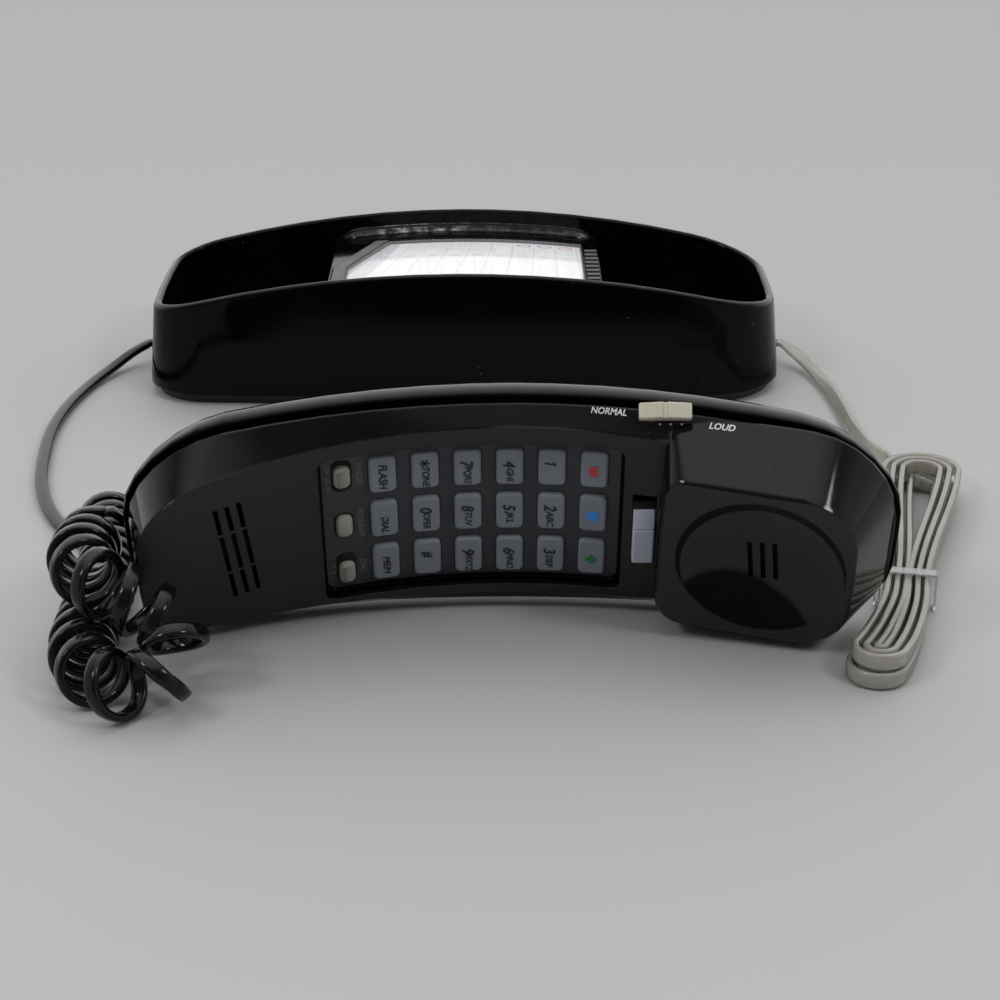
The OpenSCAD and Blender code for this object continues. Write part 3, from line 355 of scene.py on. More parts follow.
MAT = {}
MAT["shell"] = dusty_gloss("shell_black", srgb(0.02, 0.02, 0.023), 0.12).material
MAT["back"] = dusty_gloss("back_black", srgb(0.02, 0.02, 0.023), 0.10).material
MAT["front"] = dusty_gloss("front_black", srgb(0.035, 0.035, 0.038), 0.3, (0.36, 0.5)).material
# painted shade: the keypad well's lip gets a darker black than the other black plastic
MAT["lip"] = dusty_gloss("lip_painted_shade", srgb(0.01, 0.01, 0.012), 0.05).material
for slot, name, tone, rough, more in (
    ("felt", "felt_black", (0.02, 0.02, 0.02), 0.95, {}),
    ("black", "inner_black", (0.07, 0.07, 0.075), 0.45, {}),
    ("panel", "panel_charcoal", (0.19, 0.195, 0.21), 0.55, {"grain": 1500, "bump": 0.12}),
    ("catch", "catch_dark", (0.2, 0.2, 0.21), 0.5, {}),
    ("strip", "strip_grey", (0.30, 0.30, 0.31), 0.5, {}),
    ("rubber", "rubber", (0.09, 0.09, 0.09), 0.8, {"bump": 0.2}),
    ("hook", "hook_pale", (0.74, 0.76, 0.83), 0.34, {"spread": 0.03, "grain": 1800, "bump": 0.06}),
    ("key", "key_pale", (0.48, 0.50, 0.54), 0.38, {"spread": 0.04, "grain": 1800, "bump": 0.06}),
    ("ivory", "ivory", (0.62, 0.61, 0.57), 0.45, {"spread": 0.06}),
    ("beige", "beige", (0.74, 0.72, 0.65), 0.42, {"spread": 0.05}),
    ("board", "board_green", (0.10, 0.32, 0.18), 0.4, {}),
    ("brass", "ringer_brass", (0.78, 0.62, 0.33), 0.32, {}),
    ("steel", "screw_steel", (0.62, 0.62, 0.63), 0.3, {}),
    ("cord", "cord_black", (0.03, 0.03, 0.032), 0.16, {"grain": 300, "bump": 0.06, "depth": 0.0001}),
    ("ink", "ink_dark", (0.10, 0.10, 0.12), 0.5, {}),
    ("white_ink", "ink_white", (0.86, 0.86, 0.86), 0.5, {}),
    ("faint_ink", "ink_faint", (0.36, 0.37, 0.39), 0.5, {}),
    ("worn_ink", "ink_worn", (0.56, 0.59, 0.65), 0.45, {}),
    ("red", "ink_red", (0.80, 0.22, 0.25), 0.5, {}),
    ("blue", "ink_blue", (0.20, 0.55, 0.90), 0.5, {}),
    ("blue_haze", "ink_blue_haze", (0.42, 0.53, 0.66), 0.5, {}),
    ("green", "ink_green", (0.13, 0.46, 0.22), 0.5, {}),
    ("window", "window_clear", (0.95, 0.96, 0.97), 0.04, {"bump": 0.01}),
):
    MAT[slot] = moulded(name, srgb(*tone), rough, **more).material
for slot, setting, value in (
    ("brass", "Metallic", 1), ("steel", "Metallic", 1),
    ("cord", "Specular IOR Level", 0.28), ("window", "Alpha", 0.12),
):
    MAT[slot].node_tree.nodes["Principled BSDF"].inputs[setting].default_value = value


def clear(name, tone, rough, seen):
    """Clear plastic: part see-through, with a faint uneven tone."""
    s = moulded(name, tone, rough, spread=0.05)
    s.bsdf.inputs["Transmission Weight"].default_value = seen
    s.bsdf.inputs["IOR"].default_value = 1.46
    return s.material


MAT["plug"] = clear("plug_clear", srgb(0.86, 0.88, 0.9), 0.12, 0.75)
clear_cord = Shader("line_cord_clear")
edge_on = clear_cord.node("ShaderNodeLayerWeight")
edge_on.inputs["Blend"].default_value = 0.35
strands = clear_cord.ramp(clear_cord.noise(60, 2), 0.35, 0.65)
core = clear_cord.mix(strands, srgb(0.80, 0.79, 0.75), srgb(0.76, 0.75, 0.71))
# painted shade: the colour darkens where the cord's surface turns edge-on to the view, for the dark edges of
# clear plastic
rim = clear_cord.ramp(edge_on.outputs["Facing"], 0.25, 0.8)
clear_cord.color(clear_cord.mix(rim, core, srgb(0.42, 0.42, 0.40)))
clear_cord.rough(clear_cord.ramp(clear_cord.noise(80, 3), 0.3, 0.7, 0.05, 0.10))
clear_cord.bsdf.inputs["Transmission Weight"].default_value = 0.55
clear_cord.bsdf.inputs["IOR"].default_value = 1.46
MAT["line_cord"] = clear_cord.material
MAT["tie"] = clear("tie_clear", srgb(0.84, 0.85, 0.84), 0.1, 0.8)

# ------------------------ CAD nodes that stay
for names, material in (
    (("base_shell",), "shell"),
    (("handset_back",), "back"),
    (("handset_front",), "front"),
    (("base_plate", "cord_jack", "line_jack", "handset_jack"), "black"),
    (("microphone", "receiver"), "felt"),
    (("hook_switch", "slide_switches", "volume_control"), "black"),
    (("keypad_panel",), "panel"),
    (("rest_catch",), "catch"),
    (("card_bezel",), "strip"),
    (("base_feet",), "rubber"),
    (("key_mat",), "strip"),
    (("base_screws", "handset_screws"), "steel"),
    (("base_board", "main_board"), "board"),
    (("ringer_disc",), "brass"),
    (("curly_plug_base", "curly_plug_handset", "line_plug_base", "line_plug_wall"), "plug"),
    (("hank_tie",), "tie"),
    (("card_window",), "window"),
):
    for name in names:
        assign(NODES[name], MAT[material])


def smooth_group(angle):
    """Geometry nodes that weld the split points, then shade smooth across edges flatter than an angle."""
    group = bpy.data.node_groups.new("smooth_by_angle", "GeometryNodeTree")
    group.interface.new_socket("Geometry", in_out="INPUT", socket_type="NodeSocketGeometry")
    group.interface.new_socket("Geometry", in_out="OUTPUT", socket_type="NodeSocketGeometry")
    new = group.nodes.new
    start, end = new("NodeGroupInput"), new("NodeGroupOutput")
    weld = new("GeometryNodeMergeByDistance")
    weld.inputs["Distance"].default_value = 1e-6
    faces = new("GeometryNodeSetShadeSmooth")
    edges = new("GeometryNodeSetShadeSmooth")
    edges.domain = "EDGE"
    between = new("GeometryNodeInputMeshEdgeAngle")
    flatter = new("FunctionNodeCompare")
    flatter.operation = "LESS_THAN"
    flatter.inputs[1].default_value = math.radians(angle)
    group.links.new(start.outputs[0], weld.inputs[0])
    group.links.new(weld.outputs[0], faces.inputs[0])
    group.links.new(faces.outputs[0], edges.inputs[0])
    group.links.new(between.outputs["Unsigned Angle"], flatter.inputs[0])
    group.links.new(flatter.outputs[0], edges.inputs["Shade Smooth"])
    group.links.new(edges.outputs[0], end.inputs[0])
    return group


SMOOTH = smooth_group(34)


for node in NODES.values():
    node.modifiers.new("smooth", "NODES").node_group = SMOOTH
    node.modifiers.new("flat_faces", "WEIGHTED_NORMAL").keep_sharp = True


# ------------------------ cords
def spline_point(a, b, c, d, t):
    return [
        (2 * q + (r - p) * t + (2 * p - 5 * q + 4 * r - s) * t * t + (3 * q - p - 3 * r + s) * t**3) / 2
        for p, q, r, s in zip(a, b, c, d)
    ]


def route(points, steps):
    """A smooth curve through points, with a number of steps from each to the next."""
    before = [2 * p - q for p, q in zip(points[0], points[1])]
    after = [2 * p - q for p, q in zip(points[-1], points[-2])]
    p = [before] + [list(q) for q in points] + [after]
    out = [spline_point(*p[i:i + 4], k / steps) for i in range(len(points) - 1) for k in range(steps)]
    return out + [list(points[-1])]


def heading(points, i):
    a, b = points[max(i - 1, 0)], points[min(i + 1, len(points) - 1)]
    return (Vector(b[:3]) - Vector(a[:3])).normalized()


def oval(width, thick, n=14, power=0.55):
    """Section of a flat cord, with round edges, as pairs."""
    out = []
    for k in range(n):
        a = 2 * math.pi * k / n
        x, y = (math.copysign(abs(c) ** power, c) for c in (math.cos(a), math.sin(a)))
        out.append((width / 2 * x, thick / 2 * y))
    return out


def ring(centre, across, through, section):
    return [centre + across * x + through * y for x, y in section]


CORD_W, CORD_T, CURL_OD = 4.2, 2.4, 18.5
JACK_OUT, PLUG_IN, PLUG_X, PLATE_T, JACK_Z = 112.6, 9.6, 11.6, 3.5, 9.2
CURL_ROUTE = [
    (-106, -166, 9.4, 6.6), (-101, -190, 9.4, 6.6), (-99, -214, 9.4, 6.6), (-99, -238, 9.4, 7),
    (-98, -256, 9.4, 8.5), (-92, -270, 9.4, 11), (-82, -276, 9.6, 13), (-73, -271, 12.5, 13),
    (-73, -261, 18, 12), (-82, -257, 23.5, 10), (-92, -254, 28, 9.5), (-98.5, -245, 29, 8.5),
    (-100, -235, 28.8, 7), (-99.5, -224, 28, 6.6),
]
CURL_R = CURL_OD / 2 - CORD_T / 2
spine = route(CURL_ROUTE, 8)
turns = [0.0]
for a, b in zip(spine, spine[1:]):
    turns.append(turns[-1] + (Vector(b[:3]) - Vector(a[:3])).length * 2 / (a[3] + b[3]))
curls = math.floor(turns[-1]) + 0.5
turns = [t * curls / turns[-1] for t in turns]


def curl_frame(turn):
    """Centre, spine direction, outward direction and travel of the curled cord after a number of turns."""
    i = max(k for k in range(len(turns) - 1) if turns[k] <= turn)
    f = (turn - turns[i]) / (turns[i + 1] - turns[i])
    q = Vector(spine[i][:3]).lerp(Vector(spine[i + 1][:3]), f)
    d = heading(spine, i).lerp(heading(spine, i + 1), f).normalized()
    s = d.cross(Vector((0, 0, 1))).normalized()
    u = s.cross(d)
    angle = math.radians(-90 - 360 * turn)
    out = s * math.cos(angle) + u * math.sin(angle)
    return q + out * CURL_R, d, out, d.cross(out)


def flat_lead(points, roll_0, roll_1, section):
    """Rings of a flat cord along points, rolled from one angle to another."""
    rings = []
    for i in range(len(points)):
        d = heading(points, i)
        s = d.cross(Vector((0, 0, 1))).normalized()
        u = s.cross(d)
        roll = math.radians(roll_0 + (roll_1 - roll_0) * i / (len(points) - 1))
        across = -s * math.cos(roll) + u * math.sin(roll)
        through = s * math.sin(roll) + u * math.cos(roll)
        rings.append(ring(Vector(points[i][:3]), across, through, section))
    return rings


CURL_RINGS = 30
frames = [curl_frame(min(k / CURL_RINGS, curls - 1e-6)) for k in range(int(CURL_RINGS * curls) + 1)]
first, last = frames[0], frames[-1]
curl_in = first[0] - first[3] * CORD_W
curl_out = last[0] + last[3] * CORD_W
cord_exit = Vector((-JACK_OUT - (PLUG_X - PLUG_IN), 0, PLATE_T + 0.05 + JACK_Z / 2))
CORD_FLOOR = CORD_T / 2 + 0.15
BASE_LEAD = [(-124, -4, 5.4), (-130, -12, 2.6)] + [(x, y, CORD_FLOOR) for x, y in (
    (-136, -28), (-140, -50), (-141, -74), (-139, -98), (-136, -118), (-131, -136), (-124, -152),
)]
section = oval(CORD_W, CORD_T)
lead = (
    [list(cord_exit)]
    + route([cord_exit - Vector((3, 0, 0))] + BASE_LEAD + [curl_in - first[3] * 4], 6)
    + [list(curl_in)]
)
rings = flat_lead(lead, 0, 0, section)
for k in range(-2, len(frames) + 3):
    if k < 0:
        c, f = first[0] + first[3] * CORD_W * k / 3, first
    elif k >= len(frames):
        c, f = last[0] + last[3] * CORD_W * (k - len(frames) + 1) / 3, last
    else:
        c, f = frames[k][0], frames[k]
    rings.append(ring(c, f[1], f[2], section))
curly = tube("curly_cord_piece", in_metres(rings))
assign(curly, MAT["cord"])
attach(curly, "base")
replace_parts(curly, "curly_cord", "curly_lead_base")

HS_JACK_U, HS_JACK_W = -HS_LEN / 2 + 3.4, 9.0
hs_exit = (HANDSET @ Vector((HS_JACK_U - (PLUG_X - PLUG_IN), 0, HS_JACK_W))) / MM
lead = [list(curl_out)] + route([curl_out + last[3] * 2, hs_exit - Vector((2.5, 0, 0))], 6) + [list(hs_exit)]
handset_lead = tube("handset_lead_piece", in_metres(flat_lead(lead, 0, 0, section)))
assign(handset_lead, MAT["cord"])
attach(handset_lead, "handset")
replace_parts(handset_lead, "curly_lead_handset")

LINE_W, LINE_T = 4.6, 2.0
HANK_SPINE = [
    (108, -262, 0), (117, -246, 0), (125, -224, 0), (129, -206, 0), (136, -176, 0), (145, -138, 0),
    (151, -112, 0),
]
HANK_LOOPS, HANK_R, HANK_LEN, HANK_WAIST = 6, (8.6, 12.0), 150.0, 6.9
HANK_STEP, HANK_LAYER = (LINE_T + 0.5, LINE_T + 0.9), LINE_W + 0.85
TIE_S = -20.0
hank_spine = [Vector(p) for p in route(HANK_SPINE, 6)]
hank_run = [0.0]
for a, b in zip(hank_spine, hank_spine[1:]):
    hank_run.append(hank_run[-1] + (b - a).length)


def hank_place(s, q, z):
    """A point of the hank: s along it from its middle, q to its left, z up."""
    at = min(max(s + hank_run[-1] / 2, 0), hank_run[-1] - 0.01)
    i = max(k for k in range(len(hank_run) - 1) if hank_run[k] <= at)
    over = s + hank_run[-1] / 2 - at
    f = (at - hank_run[i]) / (hank_run[i + 1] - hank_run[i])
    d = heading(hank_spine, i).lerp(heading(hank_spine, i + 1), f).normalized()
    left = Vector((0, 0, 1)).cross(d)
    return hank_spine[i].lerp(hank_spine[i + 1], f) + d * over + left * q + Vector((0, 0, z))


def hank_half(loop, s):
    """Half width of a loop, counted from the outermost as 0, at a place along the hank."""
    upper = 1 if s > TIE_S else 0
    far = HANK_LEN / 2 - HANK_R[upper] - (upper * 2 - 1) * TIE_S
    f = min(abs(s - TIE_S) / far, 1)
    waist = HANK_WAIST - HANK_STEP[0] * loop
    return waist + (HANK_R[upper] - HANK_STEP[1] * loop - waist) * f * f * (3 - 2 * f)


def hank_point(turn):
    """A point of the wound cord after a number of turns: two long runs and two round ends a turn."""
    half = HANK_LOOPS / 2
    j = (turn * 24 + 6) % 24
    loop = turn if turn <= half else HANK_LOOPS - turn
    climb = min(max((turn - half + 0.15) / 0.3, 0), 1)
    ends = -HANK_LEN / 2 + HANK_R[0], HANK_LEN / 2 - HANK_R[1]
    span = ends[1] - ends[0]
    low, high = (r - HANK_STEP[1] * loop for r in HANK_R)
    if j <= 6:
        a = math.radians(30 * j - 90)
        s, q = ends[1] + high * math.cos(a), high * math.sin(a)
    elif j <= 12:
        s = ends[1] - span * (j - 6) / 6
        q = hank_half(loop, s)
    elif j <= 18:
        a = math.radians(30 * (j - 12) + 90)
        s, q = ends[0] + low * math.cos(a), low * math.sin(a)
    else:
        s = ends[0] + span * (j - 18) / 6
        q = -hank_half(loop, s)
    return hank_place(s, q, LINE_W / 2 + HANK_LAYER * climb)


HANK_RINGS = 96
hank = [hank_point(k / HANK_RINGS) for k in range(HANK_LOOPS * HANK_RINGS + 1)]
head_in, head_out = (hank[1] - hank[0]).normalized(), (hank[-1] - hank[-2]).normalized()
hank_in, hank_out = hank[0] - head_in * LINE_W, hank[-1] + head_out * LINE_W
line_exit = Vector((JACK_OUT + (PLUG_X - PLUG_IN), 0, cord_exit.z))
LINE_LEAD = [
    (122, -3, 5.4), (127, -13, 3.1), (130, -28, 2.5), (132, -48, 2.5), (133, -70, 2.5), (136, -90, 2.5),
    (141, -104, 2.6),
]
LINE_TAIL = [(131, -143, 6), (125, -153, 4.6), (118, -158, 3.9)]
wall_plug_exit = Vector((98 + PLUG_X, -158, 3.8))
section = oval(LINE_W, LINE_T)
lead = [list(line_exit)] + route([line_exit + Vector((3, 0, 0))] + LINE_LEAD + [hank_in - head_in * 4], 6)
lead.append(list(hank_in))
tail = [list(hank_out)] + route([hank_out + head_out * 4] + LINE_TAIL + [wall_plug_exit + Vector((3, 0, 0))], 6)
tail.append(list(wall_plug_exit))
rings = flat_lead(lead, 0, 90, section)
for i in range(1, len(hank) - 1):
    d = heading(hank, i)
    s = d.cross(Vector((0, 0, 1))).normalized()
    rings.append(ring(hank[i], s.cross(d), s, section))
rings += flat_lead(tail, 90, 0, section)
line = tube("line_cord_piece", in_metres(rings))
assign(line, MAT["line_cord"])
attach(line, "base")
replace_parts(line, "line_lead", "line_hank", "line_tail")


# ------------------------ keys
def cap(name, half_x, half_y, r, foot, top, matrix, fillet=0.8, dish=0.12, flange=None):
    """Key with a round top edge and a slightly hollow top, on axes whose z is out of the face."""
    rings = []
    if flange:
        wide, thick = flange
        rings += slab(rounded(half_x + wide, half_y + wide, 0.6), foot - thick, foot)
    rings.append([(x, y, foot) for x, y in rounded(half_x, half_y, r)])
    for k in range(6):
        a = math.radians(90 * k / 5)
        inset = fillet * (1 - math.cos(a))
        z = top - fillet * (1 - math.sin(a))
        rings.append([(x, y, z) for x, y in rounded(half_x - inset, half_y - inset, max(r - inset, 0.5))])
    for k in range(1, 7):
        f = 1 - k / 7
        flat = rounded((half_x - fillet) * f, (half_y - fillet) * f, max((r - fillet) * f, 0.3 * f))
        rings.append([(x, y, top - dish * (1 - f * f)) for x, y in flat])
    return tube(name, moved(matrix, rings))


PITCH_U, PITCH_V, KEY_U, KEY_V = 11.35, 16.0, 7.6, 12.6
KEY_UP, PANEL_DROP, PANEL_T = 2.3, 3.4, 1.5
KEYPAD_V = -1.0
KEY_TOP = KEY_UP - 1.0 - PANEL_DROP     # the visible caps are 1 mm lower than the solid keys
CAP_FOOT = -PANEL_DROP - PANEL_T - 0.2  # under the panel, where the caps' flanges are
FIRST_KEY_U = -34.7
FLANGE = 0.65, 0.8                      # its reach past the cap, and its thickness
KEYS = [
    "key_flash", "key_redial", "key_memory", "key_star", "key_0", "key_pound", "key_7", "key_8", "key_9",
    "key_4", "key_5", "key_6", "key_1", "key_2", "key_3", "key_fire", "key_police", "key_medical",
]
key_at = {}
for i, name in enumerate(KEYS):
    u, v = FIRST_KEY_U + PITCH_U * (i // 3), KEYPAD_V - 0.4 + PITCH_V * (1 - i % 3)
    key_at[name] = (u, v)
    piece = cap(name + "_piece", KEY_U / 2, KEY_V / 2, 1.7, CAP_FOOT, KEY_TOP, on_face(u, v), flange=FLANGE)
    assign(piece, MAT["key"])
    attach(piece, name + "_cap")
    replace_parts(piece, name)

# glossy lip round the foot of the keypad's well, its extra-dark black a painted shade along the well's edge
WINDOW_U, WINDOW_V, WINDOW_R, LIP = (-52, 30.3), 51, 4, (0.12, 1.25)


def window_loop(inset):
    """Points of the keypad window's outline, close enough together to follow the curved face."""
    half_u, half_v = (WINDOW_U[1] - WINDOW_U[0]) / 2 - inset, WINDOW_V / 2 - inset
    corners = rounded(half_u, half_v, WINDOW_R - inset)
    out = []
    for i, (x, y) in enumerate(corners):
        x1, y1 = corners[(i + 1) % len(corners)]
        parts = 24 if abs(x1 - x) > 20 else 1
        out += [(x + (x1 - x) * k / parts, y + (y1 - y) * k / parts) for k in range(parts)]
    return [(x + sum(WINDOW_U) / 2, y + KEYPAD_V) for x, y in out]


lip_rings = []
for (u0, v0), (u1, v1) in zip(window_loop(LIP[0]), window_loop(LIP[1])):
    lip_rings.append([
        on_face(u, v, z - PANEL_DROP).translation
        for u, v, z in ((u0, v0, -0.05), (u0, v0, 1.7), (u1, v1, 0.3), (u1, v1, -0.05))
    ])
lip = tube("panel_shade_lip", lip_rings + lip_rings[:1], closed_ends=False)
assign(lip, MAT["lip"])
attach(lip, "handset")

FONT_CAP = 0.72                         # height of a capital letter in the font's own size
# print on the keys and the panel reads along the handset's width
READ_DOWN = Matrix(((0, 1, 0, 0), (-1, 0, 0, 0), (0, 0, 1, 0), (0, 0, 0, 1)))


def words(name, text, height, squeeze, matrix, body, ink, shear=0.18, spacing=1.0, weight=0.03):
    """Printed words: a thin flat mesh centred on its axes, thickened all round by a share of its height."""
    made = bpy.data.curves.new(name, "FONT")
    made.body = text
    made.size = height / FONT_CAP
    made.shear = shear
    made.space_character = spacing
    made.align_x, made.align_y = "CENTER", "CENTER"
    made.resolution_u = 3
    made.extrude = 0.01
    made.bevel_depth = weight * height
    made.bevel_resolution = 0
    obj = bpy.data.objects.new(name, made)
    scene.collection.objects.link(obj)
    depsgraph = bpy.context.evaluated_depsgraph_get()
    mesh = bpy.data.meshes.new_from_object(obj.evaluated_get(depsgraph))
    bpy.data.objects.remove(obj)
    mesh.transform(matrix @ Matrix.Diagonal((squeeze, 1, 0.012 / (0.01 + weight * height), 1)))
    mesh.name = name
    done = bpy.data.objects.new(name, mesh)
    scene.collection.objects.link(done)
    assign(done, MAT[ink])
    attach(done, body)
    return done


# key, words, height, squeeze, and place along and across the key from its middle
LEGENDS = [
    ("key_flash", "FLASH", 2.3, 0.97, -0.5, 0.0),
    ("key_redial", "RE", 2.05, 0.9, 1.75, 0.0),
    ("key_redial", "DIAL", 2.05, 1.0, -1.9, 0.0),
    ("key_memory", "MEM", 2.1, 1.06, -0.9, 0.0),
    ("key_star", "TONE", 2.0, 0.94, -2.0, 0.1),
    ("key_0", "0", 3.3, 0.95, 1.9, -0.3),
    ("key_0", "OPER", 1.95, 0.84, -2.1, 0.0),
    ("key_pound", "#", 3.2, 0.78, 1.5, -0.2),
    ("key_7", "7", 3.4, 0.95, 1.8, -0.4),
    ("key_7", "PQRS", 1.95, 0.92, -2.3, 0.0),
    ("key_8", "8", 3.4, 0.92, 1.7, -0.3),
    ("key_8", "TUV", 1.95, 0.94, -2.1, 0.0),
    ("key_9", "9", 3.4, 0.92, 1.6, -0.3),
    ("key_9", "WXYZ", 1.95, 0.8, -2.3, 0.0),
    ("key_4", "4", 3.4, 0.95, 1.3, -0.3),
    ("key_4", "GHI", 1.95, 1.0, -2.5, 0.0),
    ("key_5", "5", 3.4, 0.92, 1.6, -0.3),
    ("key_5", "JKL", 1.95, 1.08, -2.1, 0.0),
    ("key_6", "6", 3.4, 0.92, 1.6, -0.3),
    ("key_6", "MNO", 1.95, 0.9, -2.3, 0.0),
    ("key_2", "2", 3.4, 0.92, 1.6, -0.4),
    ("key_2", "ABC", 1.95, 1.04, -2.4, -0.4),
    ("key_3", "3", 3.4, 0.92, 1.6, -0.4),
    ("key_3", "DEF", 1.95, 0.98, -2.1, -0.4),
]
INK_UP = 0.03


def key_print(key, along, across):
    """Axes of a print on a key's top."""
    return on_face(*key_at[key], KEY_TOP) @ Matrix.Translation((across, along, INK_UP)) @ READ_DOWN


for n, (key, text, height, squeeze, along, across) in enumerate(LEGENDS):
    ink = "worn_ink" if text == "RE" else "ink"
    words(f"legend_{n}", text, height, squeeze, key_print(key, along, across), key + "_cap", ink)


def flat_shape(name, outline, matrix, key, ink):
    """Thin printed shape on a key, with a straight-sided or smooth outline."""
    obj = tube(name, moved(matrix, slab(outline, -0.02, 0.012)), smooth=False)
    assign(obj, MAT[ink])
    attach(obj, key + "_cap")


one = [(-0.2, -1.6), (0.28, -1.6), (0.28, 1.6), (-0.1, 1.6), (-0.85, 1.0), (-0.85, 0.45), (-0.2, 0.85)]
flat_shape("legend_one", [(x + 0.18 * y, y) for x, y in one], key_print("key_1", 1.4, -0.4), "key_1", "ink")
# star of the tone key: three crossed bars
for k in range(3):
    a = math.radians(90 + 60 * k)
    bar = [(-1.5, -0.24), (1.5, -0.24), (1.5, 0.24), (-1.5, 0.24)]
    turned = [(x * math.cos(a) - y * math.sin(a), x * math.sin(a) + y * math.cos(a)) for x, y in bar]
    flat_shape(f"star_{k}", turned, key_print("key_star", 2.6, -0.1), "key_star", "ink")
# green print: a cross
arm, thick = 1.6, 0.6
cross = [
    (-thick, -arm), (thick, -arm), (thick, -thick), (arm, -thick), (arm, thick), (thick, thick),
    (thick, arm), (-thick, arm), (-thick, thick), (-arm, thick), (-arm, -thick), (-thick, -thick),
]
flat_shape("cross", cross, key_print("key_medical", -0.75, 0), "key_medical", "green")
# blurred blue print: a plain blot over a wider, paler one
for n, (size, ink) in enumerate(((1.5, "blue_haze"), (1.3, "blue"))):
    around = [math.radians(t) for t in range(0, 360, 15)]
    blot = [(size * 1.4 * math.cos(a), size * 1.3 * math.sin(a)) for a in around]
    blot = [(0.9 * x if y < 0 else x + 0.12 * math.cos(5 * x), y) for x, y in blot]
    above = Matrix.Translation((0, 0, 0.01 * n))
    flat_shape(f"shield_{n}", blot, key_print("key_police", -0.6, 0) @ above, "key_police", ink)
# red print: three flames, each a leaning drop
for n, (x0, tall, lean_out) in enumerate(((-1.1, 1.5, -0.3), (0.0, 2.05, 0.15), (1.1, 1.55, 0.45))):
    flame = []
    for k in range(12):
        t = 2 * math.pi * k / 12
        y = math.sin(t)
        flame.append((x0 + 0.52 * math.cos(t) * (1 - 0.35 * y) + lean_out * (y + 1) / 2, tall * y * 0.85))
    flat_shape(f"flame_{n}", flame, key_print("key_fire", -0.4, 0), "key_fire", "red")

# ------------------------ hook key and the three controls
HOOK_U, HOOK_V, HOOK_UP, HOOK_FOOT = (33, 39.4), (-14.3, 4.4), 1.6, -3.0
CREASE_V, HOOK_FALL = -1.9, 0.22            # above this line the key's top falls away, by this slope
HOOK_GAP_V, HOOK_GAP_UP = 1.4, 0.02         # half width and height of the flat black sheet past the key's end, painted shade for the gap there
hook_u = sum(HOOK_U) / 2
hook_z = face_z(hook_u)
half_x = (HOOK_U[1] - HOOK_U[0]) / 2 - 0.2
matrix = HANDSET @ Matrix.Translation((hook_u, (HOOK_V[0] + CREASE_V) / 2, hook_z))
hook = cap(
    "hook_key_piece", half_x, (CREASE_V - HOOK_V[0]) / 2, 0.7, HOOK_FOOT, HOOK_UP, matrix,
    fillet=0.6, dish=0.05, flange=(0.7, 1.1),
)
assign(hook, MAT["hook"])
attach(hook, "hook_key_cap")
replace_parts(hook, "hook_key")
matrix = HANDSET @ Matrix.Translation((hook_u, (HOOK_V[1] + CREASE_V) / 2, hook_z))
half_y = (HOOK_V[1] - CREASE_V) / 2
slope = []
for inset, z in ((0, HOOK_FOOT), (0, HOOK_UP - 0.4), (0.15, HOOK_UP - 0.12), (0.45, HOOK_UP)):
    fall = HOOK_FALL if z > 0 else 0
    slope.append([(x, y, z - fall * (y + half_y)) for x, y in rounded(half_x - inset, half_y - inset, 0.7)])
upper = tube("hook_key_upper", moved(matrix, slope))
assign(upper, MAT["hook"])
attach(upper, "hook_key_cap")
# painted shade: a flat felt-black sheet on the face past the key's end stands in for the shaded gap the key
# sits in
gap_at = HANDSET @ Matrix.Translation((hook_u, HOOK_V[1] + 1.5, hook_z + HOOK_GAP_UP))
gap = slab(rounded(half_x + 0.1, HOOK_GAP_V, 0.3), -HOOK_GAP_UP, HOOK_GAP_UP)
hook_gap_shade = tube("hook_gap_shade", moved(gap_at, gap))
assign(hook_gap_shade, MAT["felt"])
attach(hook_gap_shade, "handset")

CONTROL_U, CONTROL_V, CONTROL_X, CONTROL_Y, CONTROL_SLIDE = -45.4, (15.3, -2.3, -18.2), 4.6, 7.4, 2.6
CONTROL_TOP, CONTROL_R = 1.4 - PANEL_DROP, 1.9
RIBS, RIB_PITCH, RIB_SKEW = 12, 0.46, 0.15
RIB = [(-1, -0.1), (1, -0.1), (1, 0.1), (-1, 0.1)]   # a rib's foot: x in half lengths, y in millimetres


def control(name, i, shift, ribbed, body):
    """Cap of a slide or of the push button: a round-ended block, with fine ribs on a slide's top, and a flat
    black sheet of painted shade round it on the panel.
    """
    level = on_face(CONTROL_U, CONTROL_V[i])
    matrix = level @ Matrix.Translation((0, shift, 0))
    half_x, half_y = CONTROL_X / 2, CONTROL_Y / 2
    wide, thick = FLANGE
    rings = [
        [(x, y, z) for x, y in rounded(half_x + grow, half_y + grow, CONTROL_R + min(grow, 0), 8)]
        for grow, z in (
            (wide, CAP_FOOT - thick), (wide, CAP_FOOT), (0, CAP_FOOT),
            (0, CONTROL_TOP - 0.9), (-0.2, CONTROL_TOP - 0.35), (-0.7, CONTROL_TOP),
        )
    ]
    obj = tube(name, moved(matrix, rings))
    assign(obj, MAT["ivory"])
    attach(obj, body)
    # painted shade: a flat felt-black sheet on the panel round the cap, longer along a slide's travel, stands
    # in for the shaded slot around it
    reach = CONTROL_SLIDE / 2 if ribbed else 0
    well = rounded(half_x + 0.55, half_y + 0.5 + reach, 2.2, 8)
    slot_shade = tube(name + "_slot_shade", moved(level, slab(well, -PANEL_DROP, 0.04 - PANEL_DROP)))
    assign(slot_shade, MAT["felt"])
    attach(slot_shade, "handset")
    for k in range(RIBS if ribbed else 0):
        y = (k - (RIBS - 1) / 2) * RIB_PITCH
        long = half_x - 0.8 - max(abs(y) - half_y + 1.8, 0) * 0.5
        foot = [(long * x, y + q + RIB_SKEW * long * x, CONTROL_TOP - 0.05) for x, q in RIB]
        crest = [(0.94 * long * x, y + 0.4 * q + RIB_SKEW * long * x, CONTROL_TOP + 0.26) for x, q in RIB]
        rib = tube(f"{name}_rib_{k}", moved(matrix, [foot, crest]))
        assign(rib, MAT["ivory"])
        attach(rib, body)
    return obj


